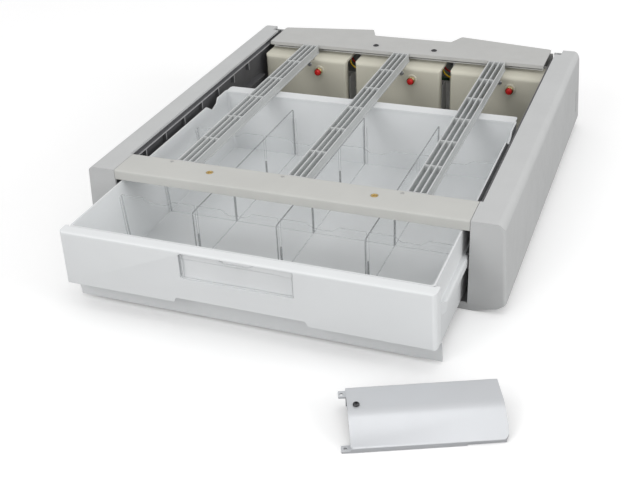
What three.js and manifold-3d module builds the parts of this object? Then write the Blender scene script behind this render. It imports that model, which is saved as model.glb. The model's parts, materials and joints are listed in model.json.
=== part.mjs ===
// Lockable supply drawer unit: two side housings, a base pan, a front crossbar, a rear plate and
// three lattice slats make a shallow open-topped frame. A drawer with clear dividers slides out of
// the front. Three lock modules at the back each hold a bolt and a red push button.
//
// Millimetres. +X is to the right seen from the front, +Y goes to the rear, +Z is up.
// Inside the functions y = 0 is the front plane of the housings and z = 0 is the floor. The
// assembly is moved at the end so that the origin is the centre of the base pan's underside.
// The drawer is shown pulled out by DRAWER_OUT.

import * as THREE from 'three';
import { mergeVertices } from 'three/addons/utils/BufferGeometryUtils.js';
import Module from 'manifold-3d';

const wasm = await Module();
wasm.setup();

// ---- driving dimensions -------------------------------------------------------------------

const UNIT_DEPTH = 494;
const UNIT_HEIGHT = 104.3;
const BAY_HALF = 200; // half the clear width between the side housings
const HOUSING_WIDTH = 40.5;
const HOUSING_WALL = 3;
const HOUSING_LEAN = 6; // how much the outer wall leans in from its foot to the top
const HOUSING_FOOT = 13; // where the lean begins
const RAIL_INSET = 3.6; // how far the bay widens behind the crossbar
const FIT_GAP = 0.3; // between pieces that touch

const BAR_DEPTH = 42; // front crossbar
const BAR_HEIGHT = 11.7;
const PLATE_FRONT_Y = 431; // rear plate
const PLATE_THICKNESS = 2;
const PLATE_TOP = 104;
const PLATE_HALF = 195.5;
const INSERT_X = 94;
const INSERT_Y = 24;

const SLAT_PITCH = 133.3;
const SLAT_WIDTH = 22;
const SLAT_HEIGHT = 11.4;
const SLAT_CELLS = 6;
const SLAT_CHANNELS = 3;
const SLAT_RIB = 1.2;
const RIVET_DX = -14; // from the slat's centre
const RIVET_Y = BAR_DEPTH - 5.5;
const PLATE_SCREW = [42, 450]; // half their distance apart, and their y
const RAIL_RIB_REACH = 1; // how far the inner rails' ribs stand into the bay

const DRAWER_OUT = 92.5; // how far the drawer is pulled out, as shown
const TRAY_TOP = 91.9;
const TRAY_FLOOR = 10.3; // top of the tray's floor
const TRAY_SKIN = 2;
const TRAY_HALF = 192.5; // half the outside width of the tray
const TRAY_REAR_Y = 270; // inside of the tray's rear wall
const FLANGE_REAR_Y = 285.5; // rear edge of the flange on the rear wall
const LEDGE_HALF = 198.3; // half the width over the runner ledges
const LEDGE_LOW = 49.6;
const LEDGE_HIGH = 62;

const FACE_Y = -117.4; // front plane of the drawer front
const FACE_HALF = 198;
const FACE_BOTTOM = 30.3;
const FACE_SKIN = 2.2;
const FACE_DEPTH = 20.5;
const LIP_DEPTH = 14.9;
const SKIRT_Y = FACE_Y + 22.6;
const LABEL_HALF = 59.5;
const LABEL_LOW = 60.5;
const LABEL_HIGH = 89.5;
const LABEL_DEPTH = 4.5;

const ROW_PITCH = 93; // crosswise dividers
const FIRST_ROW_Y = -9.5;
const COLUMN_PITCH = 97.3; // lengthwise dividers
const DIVIDER_SKIN = 1.8;
const DIVIDER_TOP = 80;

const LOCK_PITCH = 135;
const LOCK_CENTRE_X = 1.5;
const LOCK_WIDTH = 122;
const LOCK_FRONT_Y = 408;
const LOCK_REAR_Y = 450;
const LOCK_TOP = 92.8;
const LOCK_BOTTOM = 7;
const LOCK_SKIN = 2.5;
const LOCK_RETURN = 8; // depth of the covers' side walls, which are open behind
const BUTTON_DX = 20.8; // push button, from the module's centre
const BUTTON_Z = 75.8;
const SCREW_DX = 6.6; // module's cover screw
const SCREW_Z = 84;
const BOLT_Y = 425;
const BULKHEAD_Y = 452;
const REAR_PANEL_Y = 484.5;
const SHEET = 1.5;

const COVER_LENGTH = 136.6; // loose cover plate
const COVER_SLOPE = 32.2;
const COVER_SLOPE_ANGLE = THREE.MathUtils.degToRad(30);
const COVER_FLAT = 35.4;
const COVER_LIP = 4.5;
const COVER_RISE = COVER_LIP + COVER_SLOPE * Math.sin(COVER_SLOPE_ANGLE);
const COVER_FOLD = COVER_SLOPE * Math.cos(COVER_SLOPE_ANGLE);
const COVER_SKIN = 1.6;
const COVER_SCREW = [8, 38];
const COVER_CORNER = [156.8, -238.1]; // its near left corner on the floor
const COVER_TURN = THREE.MathUtils.degToRad(23.5);

const SIDES = [['left', -1], ['right', 1]];
const LOCKS = [[1, LOCK_CENTRE_X - LOCK_PITCH], [2, LOCK_CENTRE_X], [3, LOCK_CENTRE_X + LOCK_PITCH]];

// ---- materials ----------------------------------------------------------------------------

const FINISHES = {
  housing_grey: ['#bcbbb8', 0.55, 0],
  frame_grey: ['#c2c1be', 0.55, 0],
  rail_grey: ['#4a4a4c', 0.7, 0],
  sheet_steel: ['#9a9b9c', 0.45, 0.8],
  drawer_white: ['#d6d8da', 0.45, 0],
  clear_plastic: ['#e8eef0', 0.1, 0],
  label_paper: ['#e2e3e4', 0.8, 0],
  module_cream: ['#cdcbb8', 0.5, 0],
  chrome: ['#c8c8c8', 0.15, 1],
  button_red: ['#b3201e', 0.35, 0],
  dark_steel: ['#3a3a3a', 0.4, 0.9],
  strike_steel: ['#8d9092', 0.35, 0.9],
  brass: ['#b58a3a', 0.3, 1],
  board_green: ['#2f5a3a', 0.6, 0],
  wire_yellow: ['#d8b51e', 0.5, 0],
  wire_red: ['#a81c1c', 0.5, 0],
  cover_silver: ['#c6c8ca', 0.4, 0],
};

// ---- geometry helpers ---------------------------------------------------------------------

function toSolid(geometry) {
  const bare = geometry.clone();
  bare.deleteAttribute('normal');
  bare.deleteAttribute('uv');
  const merged = mergeVertices(bare, 1e-4);
  return new wasm.Manifold(new wasm.Mesh({
    numProp: 3,
    vertProperties: new Float32Array(merged.attributes.position.array),
    triVerts: new Uint32Array(merged.index.array),
  }));
}

function toGeometry(solid) {
  const mesh = solid.getMesh();
  const geometry = new THREE.BufferGeometry();
  geometry.setAttribute('position', new THREE.BufferAttribute(new Float32Array(mesh.vertProperties), 3));
  geometry.setIndex(new THREE.BufferAttribute(new Uint32Array(mesh.triVerts), 1));
  geometry.computeVertexNormals();
  return geometry;
}

function join(...pieces) {
  return toGeometry(pieces.map(toSolid).reduce((sum, piece) => sum.add(piece)));
}

function cut(piece, ...tools) {
  return toGeometry(tools.map(toSolid).reduce((rest, tool) => rest.subtract(tool), toSolid(piece)));
}

function common(first, second) {
  return toGeometry(toSolid(first).intersect(toSolid(second)));
}

function block([x0, x1], [y0, y1], [z0, z1]) {
  const geometry = new THREE.BoxGeometry(x1 - x0, y1 - y0, z1 - z0);
  return geometry.translate((x0 + x1) / 2, (y0 + y1) / 2, (z0 + z1) / 2);
}

// A closed outline through [a, b] corners; a third number rounds that corner by that radius.
function outline(corners) {
  const shape = new THREE.Shape();
  const count = corners.length;
  corners.forEach(([a, b, radius = 0], index) => {
    const corner = new THREE.Vector2(a, b);
    const before = new THREE.Vector2(...corners[(index + count - 1) % count]);
    const after = new THREE.Vector2(...corners[(index + 1) % count]);
    const start = before.sub(corner).setLength(radius).add(corner);
    const end = after.sub(corner).setLength(radius).add(corner);
    if (index === 0) shape.moveTo(start.x, start.y);
    else shape.lineTo(start.x, start.y);
    if (radius > 0) shape.quadraticCurveTo(corner.x, corner.y, end.x, end.y);
  });
  return shape;
}

function rectangle([a0, a1], [b0, b1], radius = 0) {
  return outline([[a0, b0, radius], [a1, b0, radius], [a1, b1, radius], [a0, b1, radius]]);
}

function extrude(shape, depth, curveSegments = 4) {
  return new THREE.ExtrudeGeometry(shape, { depth, bevelEnabled: false, curveSegments });
}

// The shape's own x, y become the part's x, y.
function alongZ(shape, [z0, z1], curveSegments) {
  return extrude(shape, z1 - z0, curveSegments).translate(0, 0, z0);
}

// The shape's own x, y become the part's x, z.
function alongY(shape, [y0, y1], curveSegments) {
  return extrude(shape, y1 - y0, curveSegments).rotateX(Math.PI / 2).translate(0, y1, 0);
}

// The shape's own x, y become the part's y, z.
function alongX(shape, [x0, x1], curveSegments) {
  const turn = new THREE.Matrix4().makeBasis(
    new THREE.Vector3(0, 1, 0),
    new THREE.Vector3(0, 0, 1),
    new THREE.Vector3(1, 0, 0),
  );
  return extrude(shape, x1 - x0, curveSegments).applyMatrix4(turn).translate(x0, 0, 0);
}

// A solid between two rectangles at heights z0 and z1.
function taper(low, high, [z0, z1]) {
  const geometry = block(low[0], low[1], [z0, z1]);
  const position = geometry.attributes.position;
  const middle = (z0 + z1) / 2;
  for (let i = 0; i < position.count; i += 1) {
    if (position.getZ(i) > middle) {
      position.setX(i, position.getX(i) < (low[0][0] + low[0][1]) / 2 ? high[0][0] : high[0][1]);
      position.setY(i, position.getY(i) < (low[1][0] + low[1][1]) / 2 ? high[1][0] : high[1][1]);
    }
  }
  return geometry;
}

function rodZ(radius, [x, y], [z0, z1], sides = 16) {
  const geometry = new THREE.CylinderGeometry(radius, radius, z1 - z0, sides);
  return geometry.rotateX(Math.PI / 2).translate(x, y, (z0 + z1) / 2);
}

function rodY(radius, [x, z], [y0, y1], sides = 16) {
  return new THREE.CylinderGeometry(radius, radius, y1 - y0, sides).translate(x, (y0 + y1) / 2, z);
}

// Turned about the part's Z: profile points are [radius, z].
function turnedZ(profile, sides = 16) {
  const points = profile.map(([radius, z]) => new THREE.Vector2(radius, z));
  return new THREE.LatheGeometry(points, sides).rotateX(Math.PI / 2);
}

// Turned about the part's Y: profile points are [radius, y].
function turnedY(profile, sides = 16) {
  const points = profile.map(([radius, y]) => new THREE.Vector2(radius, y));
  return new THREE.LatheGeometry(points, sides);
}

function mirroredX(geometry) {
  const mirrored = toGeometry(toSolid(geometry)).scale(-1, 1, 1);
  const index = mirrored.index.array;
  for (let i = 0; i < index.length; i += 3) {
    [index[i], index[i + 1]] = [index[i + 1], index[i]];
  }
  return mirrored;
}

function onSide(geometry, side) {
  return side < 0 ? mirroredX(geometry) : geometry;
}

function spaced(count, first, pitch) {
  return Array.from({ length: count }, (_, index) => first + index * pitch);
}

// ---- chassis ------------------------------------------------------------------------------

function basePan() {
  const half = BAY_HALF - 10 - FIT_GAP;
  return join(
    block([-half, half], [1, REAR_PANEL_Y + SHEET], [0, SHEET]),
    block([-half, half], [REAR_PANEL_Y - 10, REAR_PANEL_Y - 8.5], [SHEET - 0.5, 6]),
  );
}

// Squeezes the housing's width towards its inner side, in step with the height above its foot.
function leanedIn(geometry) {
  const position = geometry.attributes.position;
  for (let i = 0; i < position.count; i += 1) {
    const rise = Math.max(0, position.getZ(i) - HOUSING_FOOT) / (UNIT_HEIGHT - HOUSING_FOOT);
    const out = Math.max(0, position.getX(i) - BAY_HALF) / HOUSING_WIDTH;
    position.setX(i, position.getX(i) - HOUSING_LEAN * rise * out);
  }
  return geometry;
}

// The right housing: a shell with a rounded outer top edge, open on its inner side, standing on
// a foot that reaches inwards under the drawer.
function housing() {
  const outer = BAY_HALF + HOUSING_WIDTH;
  const section = outline([
    [BAY_HALF, 0], [BAY_HALF + 6, 0], [outer - 9, 6.5, 4], [outer, 13, 4],
    [outer, UNIT_HEIGHT, 12], [BAY_HALF, UNIT_HEIGHT],
  ]);
  const hollow = outline([
    [BAY_HALF - 1, 8], [outer - 8, 11], [outer - HOUSING_WALL, 16],
    [outer - HOUSING_WALL, UNIT_HEIGHT - HOUSING_WALL, 9], [BAY_HALF - 1, UNIT_HEIGHT - HOUSING_WALL],
  ]);
  const plan = outline([
    [BAY_HALF - 1, 0], [outer, 0, 4], [outer, UNIT_DEPTH, 9], [BAY_HALF - 1, UNIT_DEPTH],
  ]);
  const shell = common(
    alongY(section, [0, UNIT_DEPTH]),
    alongZ(plan, [-1, UNIT_HEIGHT + 1]),
  );
  const footReach = BAY_HALF - 10;
  return leanedIn(cut(
    join(
      shell,
      block([footReach, BAY_HALF + 4], [0, UNIT_DEPTH - 6], [0, 2]),
      block([footReach, BAY_HALF + 4], [0, HOUSING_WALL], [0, 7.4]),
    ),
    alongY(hollow, [HOUSING_WALL, UNIT_DEPTH - HOUSING_WALL]),
    // a notch in the inner rear corner of the top
    block(
      [BAY_HALF - 1, BAY_HALF + 13],
      [UNIT_DEPTH - 17, UNIT_DEPTH + 1],
      [UNIT_HEIGHT - 4, UNIT_HEIGHT + 1],
    ),
    // the top's inner edge steps back behind the crossbar
    block(
      [BAY_HALF - 1, BAY_HALF + RAIL_INSET],
      [BAR_DEPTH, UNIT_DEPTH + 1],
      [UNIT_HEIGHT - HOUSING_WALL - 1, UNIT_HEIGHT + 1],
    ),
    // a short upright recess in the outer side
    block([outer - 1.2, outer + 1], [459, 462.5], [31, 60]),
  ));
}

// The right inner rail closes the housing's open side. The drawer's ledge slides on its shelf.
function innerRail() {
  const inside = BAY_HALF + RAIL_INSET + 0.4;
  const ribTip = BAY_HALF - RAIL_RIB_REACH;
  const railEnd = LOCK_FRONT_Y - 4;
  const ribs = spaced(8, 21.6, 48.4).map((y) => block(
    [ribTip, inside + 0.5],
    [y - 0.8, y + 0.8],
    [86, y < BAR_DEPTH ? UNIT_HEIGHT - BAR_HEIGHT - FIT_GAP : 97.5],
  ));
  return join(
    block([inside, inside + 2], [HOUSING_WALL + 0.5, UNIT_DEPTH - 4], [9.2, 100.8]),
    block([ribTip, inside + 0.5], [BAR_DEPTH + 1, UNIT_DEPTH - 24], [97, 98.6]),
    block([TRAY_HALF + 1.9, inside + 0.5], [4, railEnd], [LEDGE_LOW - FIT_GAP - 2.2, LEDGE_LOW - FIT_GAP]),
    block([TRAY_HALF + 2.8, inside + 0.5], [4, railEnd], [LEDGE_HIGH + 0.6, LEDGE_HIGH + 2.4]),
    ...ribs,
  );
}

function frontCrossbar() {
  const half = BAY_HALF - 0.5;
  const low = UNIT_HEIGHT - BAR_HEIGHT;
  const skin = UNIT_HEIGHT - HOUSING_WALL;
  const top = UNIT_HEIGHT + 1;
  const bosses = [-INSERT_X, INSERT_X].map((x) => rodZ(6.5, [x, INSERT_Y], [low + 1, skin + 1], 20));
  const bores = [-INSERT_X, INSERT_X].map((x) => rodZ(4.2, [x, INSERT_Y], [low + 2.5, top], 20));
  const rivetHoles = slatCentres().map((x) => rodZ(1.6, [x + RIVET_DX, RIVET_Y], [skin - 1, top], 10));
  const tongueSlots = slatCentres().map(
    (x) => block([x - 19.5, x + 8.5], [BAR_DEPTH - 5, BAR_DEPTH + 1], [97, 101.4]),
  );
  return cut(
    join(
      cut(
        block([-half, half], [0, BAR_DEPTH], [low, UNIT_HEIGHT]),
        block([-half + 3, half - 3], [3, BAR_DEPTH - 3], [low - 1, skin]),
      ),
      ...bosses,
    ),
    ...bores,
    ...tongueSlots,
    ...rivetHoles,
  );
}

// A brass bush flush with the crossbar's top, with a blind thread.
function threadedInsert(x) {
  const top = UNIT_HEIGHT + 0.2;
  const profile = [
    [0, top - 8.5], [3.9, top - 8.5], [3.9, top], [2.3, top], [1.9, top - 0.5], [1.9, top - 7],
    [0, top - 7],
  ];
  return turnedZ(profile, 20).translate(x, INSERT_Y, 0);
}

function rivet(x) {
  const top = UNIT_HEIGHT;
  const profile = [
    [0, 97.9], [1.2, 97.9], [1.2, top + 0.1], [1.9, top + 0.1], [1.2, top + 0.7], [0, top + 0.8],
  ];
  return turnedZ(profile, 10).translate(x + RIVET_DX, RIVET_Y, 0);
}

function slatCentres() {
  return spaced(3, 0.7 - SLAT_PITCH, SLAT_PITCH);
}

// A lattice bar: three channels in six cells, on a thin flange, with a tongue at each end.
function topSlat(x) {
  const front = BAR_DEPTH + FIT_GAP;
  const rear = PLATE_FRONT_Y - FIT_GAP;
  const low = UNIT_HEIGHT - SLAT_HEIGHT;
  const half = SLAT_WIDTH / 2;
  const channel = (SLAT_WIDTH - (SLAT_CHANNELS + 1) * SLAT_RIB) / SLAT_CHANNELS;
  const cellPitch = (rear - front - SLAT_RIB) / SLAT_CELLS;
  const cells = spaced(SLAT_CELLS, front + SLAT_RIB, cellPitch).flatMap(
    (y) => spaced(SLAT_CHANNELS, x - half + SLAT_RIB, channel + SLAT_RIB).map(
      (left) => block([left, left + channel], [y, y + cellPitch - SLAT_RIB], [low + 1, UNIT_HEIGHT]),
    ),
  );
  return cut(
    join(
      block([x - half, x + half], [front, rear], [low, UNIT_HEIGHT - 0.2]),
      block([x - half - 1.8, x + half + 1.8], [front, rear], [low, low + 1.5]),
      block([x - 19, x + 8], [BAR_DEPTH - 12, front + 1], [97.5, 100.6]),
      block([x - 8, x + 8], [rear - 1, rear + 12], [95.5, 98.5]),
    ),
    ...cells,
    block(
      [x - half + SLAT_RIB, x + half - SLAT_RIB],
      [front + SLAT_RIB, rear - SLAT_RIB],
      [low - 1, low + 2],
    ),
    rodZ(1.6, [x + RIVET_DX, RIVET_Y], [96, 102], 10),
  );
}

function plateOutline() {
  return outline([
    [-PLATE_HALF, PLATE_FRONT_Y], [PLATE_HALF, PLATE_FRONT_Y], [PLATE_HALF, UNIT_DEPTH - 1, 3], [66, 514, 2],
    [56, 490], [-56, 490], [-66, 514, 2], [-PLATE_HALF, UNIT_DEPTH - 1, 3],
  ]);
}

function rearPlate() {
  const [screwX, screwY] = PLATE_SCREW;
  const screwHoles = SIDES.map(([, side]) => rodZ(2.4, [side * screwX, screwY], [100, 106], 14));
  return cut(
    join(
      alongZ(plateOutline(), [PLATE_TOP - PLATE_THICKNESS, PLATE_TOP]),
      block([-PLATE_HALF, PLATE_HALF], [PLATE_FRONT_Y, PLATE_FRONT_Y + 2], [PLATE_TOP - 4.6, PLATE_TOP - 1]),
    ),
    ...screwHoles,
  );
}

function plateScrew(side) {
  const [screwX, screwY] = PLATE_SCREW;
  const top = PLATE_TOP;
  const profile = [
    [0, 93.1], [1.9, 93.1], [1.9, top + 0.2], [4, top + 0.2], [3.7, top + 1.3], [1.8, top + 1.6],
    [1.8, top + 0.6], [0, top + 0.6],
  ];
  return turnedZ(profile, 14).translate(side * screwX, screwY, 0);
}

// A sheet wall behind the modules. Left of each gap between them it has a window for wires and an
// upright rib.
function lockBulkhead() {
  const half = BAY_HALF - 1;
  const [screwX, screwY] = PLATE_SCREW;
  const windows = lockGaps().map((x) => block([x - 25, x], [BULKHEAD_Y - 1, BULKHEAD_Y + 3], [61, 90]));
  const ribs = lockGaps().map((x) => block([x - 10.5, x - 9], [BULKHEAD_Y - 22, BULKHEAD_Y + 0.5], [3, 62]));
  const screwHoles = SIDES.map(([, side]) => rodZ(2.3, [side * screwX, screwY], [92, 96], 14));
  return cut(
    join(
      block([-half, half], [BULKHEAD_Y, BULKHEAD_Y + SHEET], [2, 94.7]),
      block([-half + 5, half - 5], [PLATE_FRONT_Y + 9, BULKHEAD_Y + SHEET], [93.3, 94.7]),
      ...ribs,
    ),
    ...windows,
    ...screwHoles,
  );
}

function rearPanel() {
  const half = BAY_HALF - 0.4;
  return cut(
    block([-half, half], [REAR_PANEL_Y, REAR_PANEL_Y + SHEET], [2, 101.6]),
    alongY(rectangle([-45, 45], [68, 94], 5), [REAR_PANEL_Y - 1, REAR_PANEL_Y + SHEET + 1]),
  );
}

function controlBoard() {
  const y = BULKHEAD_Y + SHEET + 6;
  return join(
    block([-62, 62], [y, y + 1.6], [14, 62]),
    block([-50, -30], [y + 1, y + 11], [44, 60]),
    block([-8, 10], [y + 1, y + 4], [26, 44]),
    block([30, 54], [y + 1, y + 13], [18, 34]),
    block([28, 52], [y + 1, y + 10], [48, 60]),
  );
}

// ---- lock modules -------------------------------------------------------------------------

// Where the gaps between neighbouring modules are centred.
function lockGaps() {
  return [-1, 1].map((side) => LOCK_CENTRE_X + side * LOCK_PITCH / 2);
}

// A hood over the bolt: a front wall, short side walls and a top.
function lockCover(x) {
  const half = LOCK_WIDTH / 2;
  const plan = (inset) => outline([
    [x - half + inset, LOCK_FRONT_Y + inset, 5 - inset],
    [x + half - inset, LOCK_FRONT_Y + inset, 5 - inset],
    [x + half - inset, LOCK_REAR_Y + inset],
    [x - half + inset, LOCK_REAR_Y + inset],
  ]);
  const side = (inset) => outline([
    [LOCK_FRONT_Y + inset, LOCK_BOTTOM - inset], [LOCK_REAR_Y + inset, LOCK_BOTTOM - inset],
    [LOCK_REAR_Y + inset, LOCK_TOP - inset], [LOCK_FRONT_Y + inset, LOCK_TOP - inset, 8 - inset],
  ]);
  const body = (inset) => common(
    alongZ(plan(inset), [LOCK_BOTTOM - 2 * inset, LOCK_TOP]),
    alongX(side(inset), [x - half, x + half]),
  );
  const boss = rodY(7.5, [x + BUTTON_DX, BUTTON_Z], [LOCK_FRONT_Y - 2, LOCK_FRONT_Y + 1], 24);
  return cut(
    join(cut(body(0), body(LOCK_SKIN)), boss),
    block(
      [x - half - 1, x + half + 1],
      [LOCK_FRONT_Y + LOCK_RETURN, LOCK_REAR_Y + 1],
      [LOCK_BOTTOM - 1, LOCK_TOP - LOCK_SKIN - 0.8],
    ),
    rodY(4.7, [x + BUTTON_DX, BUTTON_Z], [LOCK_FRONT_Y - 3, LOCK_FRONT_Y + 6], 20),
    rodY(1.8, [x + SCREW_DX, SCREW_Z], [LOCK_FRONT_Y - 3, LOCK_FRONT_Y + 6], 12),
    // the mouth that a strike enters
    block([x - 16, x + 16], [LOCK_FRONT_Y - 1, LOCK_FRONT_Y + 5], [21, 34]),
  );
}

function coverScrew(x) {
  const face = LOCK_FRONT_Y - FIT_GAP;
  const profile = [
    [0, face - 0.8], [1, face - 0.8], [1.1, face - 1.9], [2.4, face - 1.6], [3.1, face - 0.5], [3.1, face],
    [1.5, face], [1.5, face + 12], [0, face + 12],
  ];
  return turnedY(profile, 14).translate(x + SCREW_DX, 0, SCREW_Z);
}

// A chromed bush: its neck passes through the cover, its cup holds the button.
function buttonBush(x) {
  const back = LOCK_FRONT_Y - 2.3;
  const profile = [
    [3.3, back + 8], [3.3, back - 0.8], [4.6, back - 0.8], [4.6, back - 4.4], [5, back - 4.8],
    [5.4, back - 4.4], [5.4, back], [4.4, back], [4.4, back + 8], [3.3, back + 8],
  ];
  return turnedY(profile, 20).translate(x + BUTTON_DX, 0, BUTTON_Z);
}

function pushButton(x) {
  const tip = LOCK_FRONT_Y - 11.6;
  const profile = [
    [0, tip], [2.3, tip + 0.2], [3.6, tip + 1], [4.2, tip + 2.2], [4.2, tip + 5.4],
    [3, tip + 5.4], [3, tip + 22], [0, tip + 22],
  ];
  return turnedY(profile, 20).translate(x + BUTTON_DX, 0, BUTTON_Z);
}

function solenoid(x) {
  return cut(
    block([x - 11, x + 11], [BOLT_Y - 11, BOLT_Y + 11], [SHEET + FIT_GAP, 18]),
    rodZ(3.3, [x, BOLT_Y], [0, 20], 16),
  );
}

function lockBolt(x) {
  const profile = [[0, 2.6], [2.9, 2.6], [2.9, 20], [2, 21.5], [0, 21.5]];
  return turnedZ(profile, 16).translate(x, BOLT_Y, 0);
}

// A short wire that hangs in a loop from one module's top to the next one's.
function linkWire(gapX, y, sag) {
  const top = LOCK_TOP - LOCK_SKIN - 1.3;
  const stations = [[-12, 0, 0], [-8, -3, 0.7], [1, -5, 1], [8, -3, 0.65], [11, 0, 0]];
  const route = new THREE.CatmullRomCurve3(
    stations.map(([dx, dy, drop]) => new THREE.Vector3(gapX + dx, y + dy, top - drop * sag)),
  );
  const section = new THREE.Shape().absarc(0, 0, 1.1, 0, 2 * Math.PI);
  return new THREE.ExtrudeGeometry(section, { steps: 20, curveSegments: 4, extrudePath: route });
}

// ---- drawer -------------------------------------------------------------------------------

function drawerTray() {
  const low = TRAY_FLOOR - TRAY_SKIN;
  const outerFrontLow = SKIRT_Y + 1.3;
  const outerFrontHigh = FACE_Y + LIP_DEPTH - 1.7;
  const body = taper(
    [[-TRAY_HALF, TRAY_HALF], [outerFrontLow, TRAY_REAR_Y + 2.5]],
    [[-TRAY_HALF, TRAY_HALF], [outerFrontHigh, TRAY_REAR_Y + 2.5]],
    [low, TRAY_TOP],
  );
  const hollow = taper(
    [[-186, 186], [outerFrontLow + 2, TRAY_REAR_Y]],
    [[-190.6, 190.6], [outerFrontHigh + 2, TRAY_REAR_Y]],
    [TRAY_FLOOR, TRAY_TOP + 0.001],
  );
  const ledge = outline([
    [TRAY_HALF - 1, LEDGE_LOW], [LEDGE_HALF, LEDGE_LOW, 2],
    [LEDGE_HALF, LEDGE_HIGH, 3], [TRAY_HALF - 1, LEDGE_HIGH],
  ]);
  const ledges = SIDES.map(([, side]) => onSide(alongY(ledge, [-94, TRAY_REAR_Y + 2]), side));
  // a vee in each side wall near the rear, where the drawer meets its stop
  const stopNotch = alongX(
    outline([[209, TRAY_TOP + 1], [226, TRAY_TOP - 9.5], [239, TRAY_TOP - 6], [246, TRAY_TOP + 1]]),
    [-TRAY_HALF - 1, TRAY_HALF + 1],
  );
  const rearFlange = block(
    [-TRAY_HALF + 1.5, TRAY_HALF - 1.5],
    [TRAY_REAR_Y - 1.5, FLANGE_REAR_Y],
    [TRAY_TOP - 1.9, TRAY_TOP],
  );
  const rearSlots = columns().flatMap((x) => [-2.3, 2.3].map((shift) => block(
    [x + shift - 0.7, x + shift + 0.7],
    [TRAY_REAR_Y - 1.4, TRAY_REAR_Y + 1],
    [TRAY_FLOOR - 1, 62],
  )));
  const sideSlots = rows().flatMap((y) => SIDES.flatMap(([, side]) => [-2.3, 2.3].map(
    (shift) => onSide(taper(
      [[184.2, 188], [y + shift - 0.7, y + shift + 0.7]],
      [[188, 191.6], [y + shift - 0.7, y + shift + 0.7]],
      [TRAY_FLOOR - 1, 76],
    ), side),
  )));
  return join(
    cut(body, hollow, stopNotch),
    ...ledges,
    rearFlange,
    ...rearSlots,
    ...sideSlots,
  );
}

function drawerFront() {
  const back = FACE_Y + FACE_DEPTH;
  const plan = (inset) => outline([
    [-FACE_HALF + inset, FACE_Y + inset, 3], [FACE_HALF - inset, FACE_Y + inset, 3],
    [FACE_HALF - inset, FACE_Y + LIP_DEPTH], [TRAY_HALF + 2.5 - inset, back + (inset ? 1 : 0)],
    [-TRAY_HALF - 2.5 + inset, back + (inset ? 1 : 0)], [-FACE_HALF + inset, FACE_Y + LIP_DEPTH],
  ]);
  const shell = cut(
    alongZ(plan(0), [FACE_BOTTOM, TRAY_TOP]),
    alongZ(plan(FACE_SKIN), [FACE_BOTTOM - 1, TRAY_TOP - FACE_SKIN]),
    // the top stays closed only over the lip
    block(
      [-TRAY_HALF - 1.3, TRAY_HALF + 1.3],
      [FACE_Y + LIP_DEPTH - 2, back + 1],
      [TRAY_TOP - 4, TRAY_TOP + 1],
    ),
  );
  const labelBox = block(
    [-LABEL_HALF - 2, LABEL_HALF + 2],
    [FACE_Y + 1, FACE_Y + LABEL_DEPTH + FACE_SKIN],
    [LABEL_LOW - 2, TRAY_TOP - 1],
  );
  const fingerNotch = alongY(outline([
    [-73, FACE_BOTTOM - 1], [73, FACE_BOTTOM - 1], [69.5, FACE_BOTTOM + 6], [-69.5, FACE_BOTTOM + 6],
  ]), [FACE_Y - 1, FACE_Y + 4]);
  return cut(
    join(shell, labelBox),
    block([-LABEL_HALF, LABEL_HALF], [FACE_Y - 1, FACE_Y + LABEL_DEPTH], [LABEL_LOW, LABEL_HIGH]),
    fingerNotch,
  );
}

function drawerSkirt() {
  return join(
    block([-199, 199], [SKIRT_Y, SKIRT_Y + 1.9], [1.8, 8]),
    alongX(outline([
      [SKIRT_Y, 7.5], [SKIRT_Y + 0.9, 7.5], [SKIRT_Y - 1.3, 26], [SKIRT_Y - 2.8, 26],
    ]), [-199, 199]),
  );
}

function labelCard() {
  const y = FACE_Y + LABEL_DEPTH - FIT_GAP;
  return block([-LABEL_HALF + 1, LABEL_HALF - 1], [y - 0.6, y], [LABEL_LOW + 0.6, LABEL_HIGH - 0.6]);
}

function labelWindow() {
  const y = FACE_Y + LABEL_DEPTH - FIT_GAP - 0.9;
  return block([-LABEL_HALF + 0.4, LABEL_HALF - 0.4], [y - 1, y], [LABEL_LOW + 0.3, LABEL_HIGH - 0.3]);
}

function rows() {
  return spaced(3, FIRST_ROW_Y, ROW_PITCH);
}

function columns() {
  return spaced(3, -COLUMN_PITCH, COLUMN_PITCH);
}

// A crosswise divider: it dips in the middle of each column, and slots from above take the
// lengthwise dividers.
function crossDivider(y) {
  const low = TRAY_FLOOR + FIT_GAP;
  const dip = 5.5;
  const lowEnd = 185.4;
  const highEnd = 189.3;
  const edges = [-highEnd, ...columns(), highEnd];
  const profile = [[-lowEnd, low], [lowEnd, low]];
  for (let bay = edges.length - 1; bay > 0; bay -= 1) {
    const middle = (edges[bay] + edges[bay - 1]) / 2;
    profile.push(...(bay === edges.length - 1 ? [[highEnd, DIVIDER_TOP]] : []));
    profile.push([middle + 18, DIVIDER_TOP], [middle + 10, DIVIDER_TOP - dip]);
    profile.push([middle - 10, DIVIDER_TOP - dip], [middle - 18, DIVIDER_TOP]);
  }
  profile.push([-highEnd, DIVIDER_TOP]);
  const half = DIVIDER_SKIN / 2;
  const slots = columns().map((x) => block(
    [x - half - FIT_GAP, x + half + FIT_GAP],
    [y - 2, y + 2],
    [(DIVIDER_TOP + TRAY_FLOOR) / 2 - FIT_GAP, DIVIDER_TOP + 1],
  ));
  return cut(alongY(outline(profile), [y - half, y + half]), ...slots);
}

// A lengthwise divider: slots from below pass over the crosswise dividers.
function longDivider(x) {
  const half = DIVIDER_SKIN / 2;
  const slots = rows().map((y) => block(
    [x - 2, x + 2],
    [y - half - FIT_GAP, y + half + FIT_GAP],
    [0, (DIVIDER_TOP + TRAY_FLOOR) / 2],
  ));
  return cut(
    block(
      [x - half, x + half],
      [FIRST_ROW_Y - 8, TRAY_REAR_Y - FIT_GAP],
      [TRAY_FLOOR + FIT_GAP, DIVIDER_TOP - 4.5],
    ),
    ...slots,
  );
}

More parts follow.
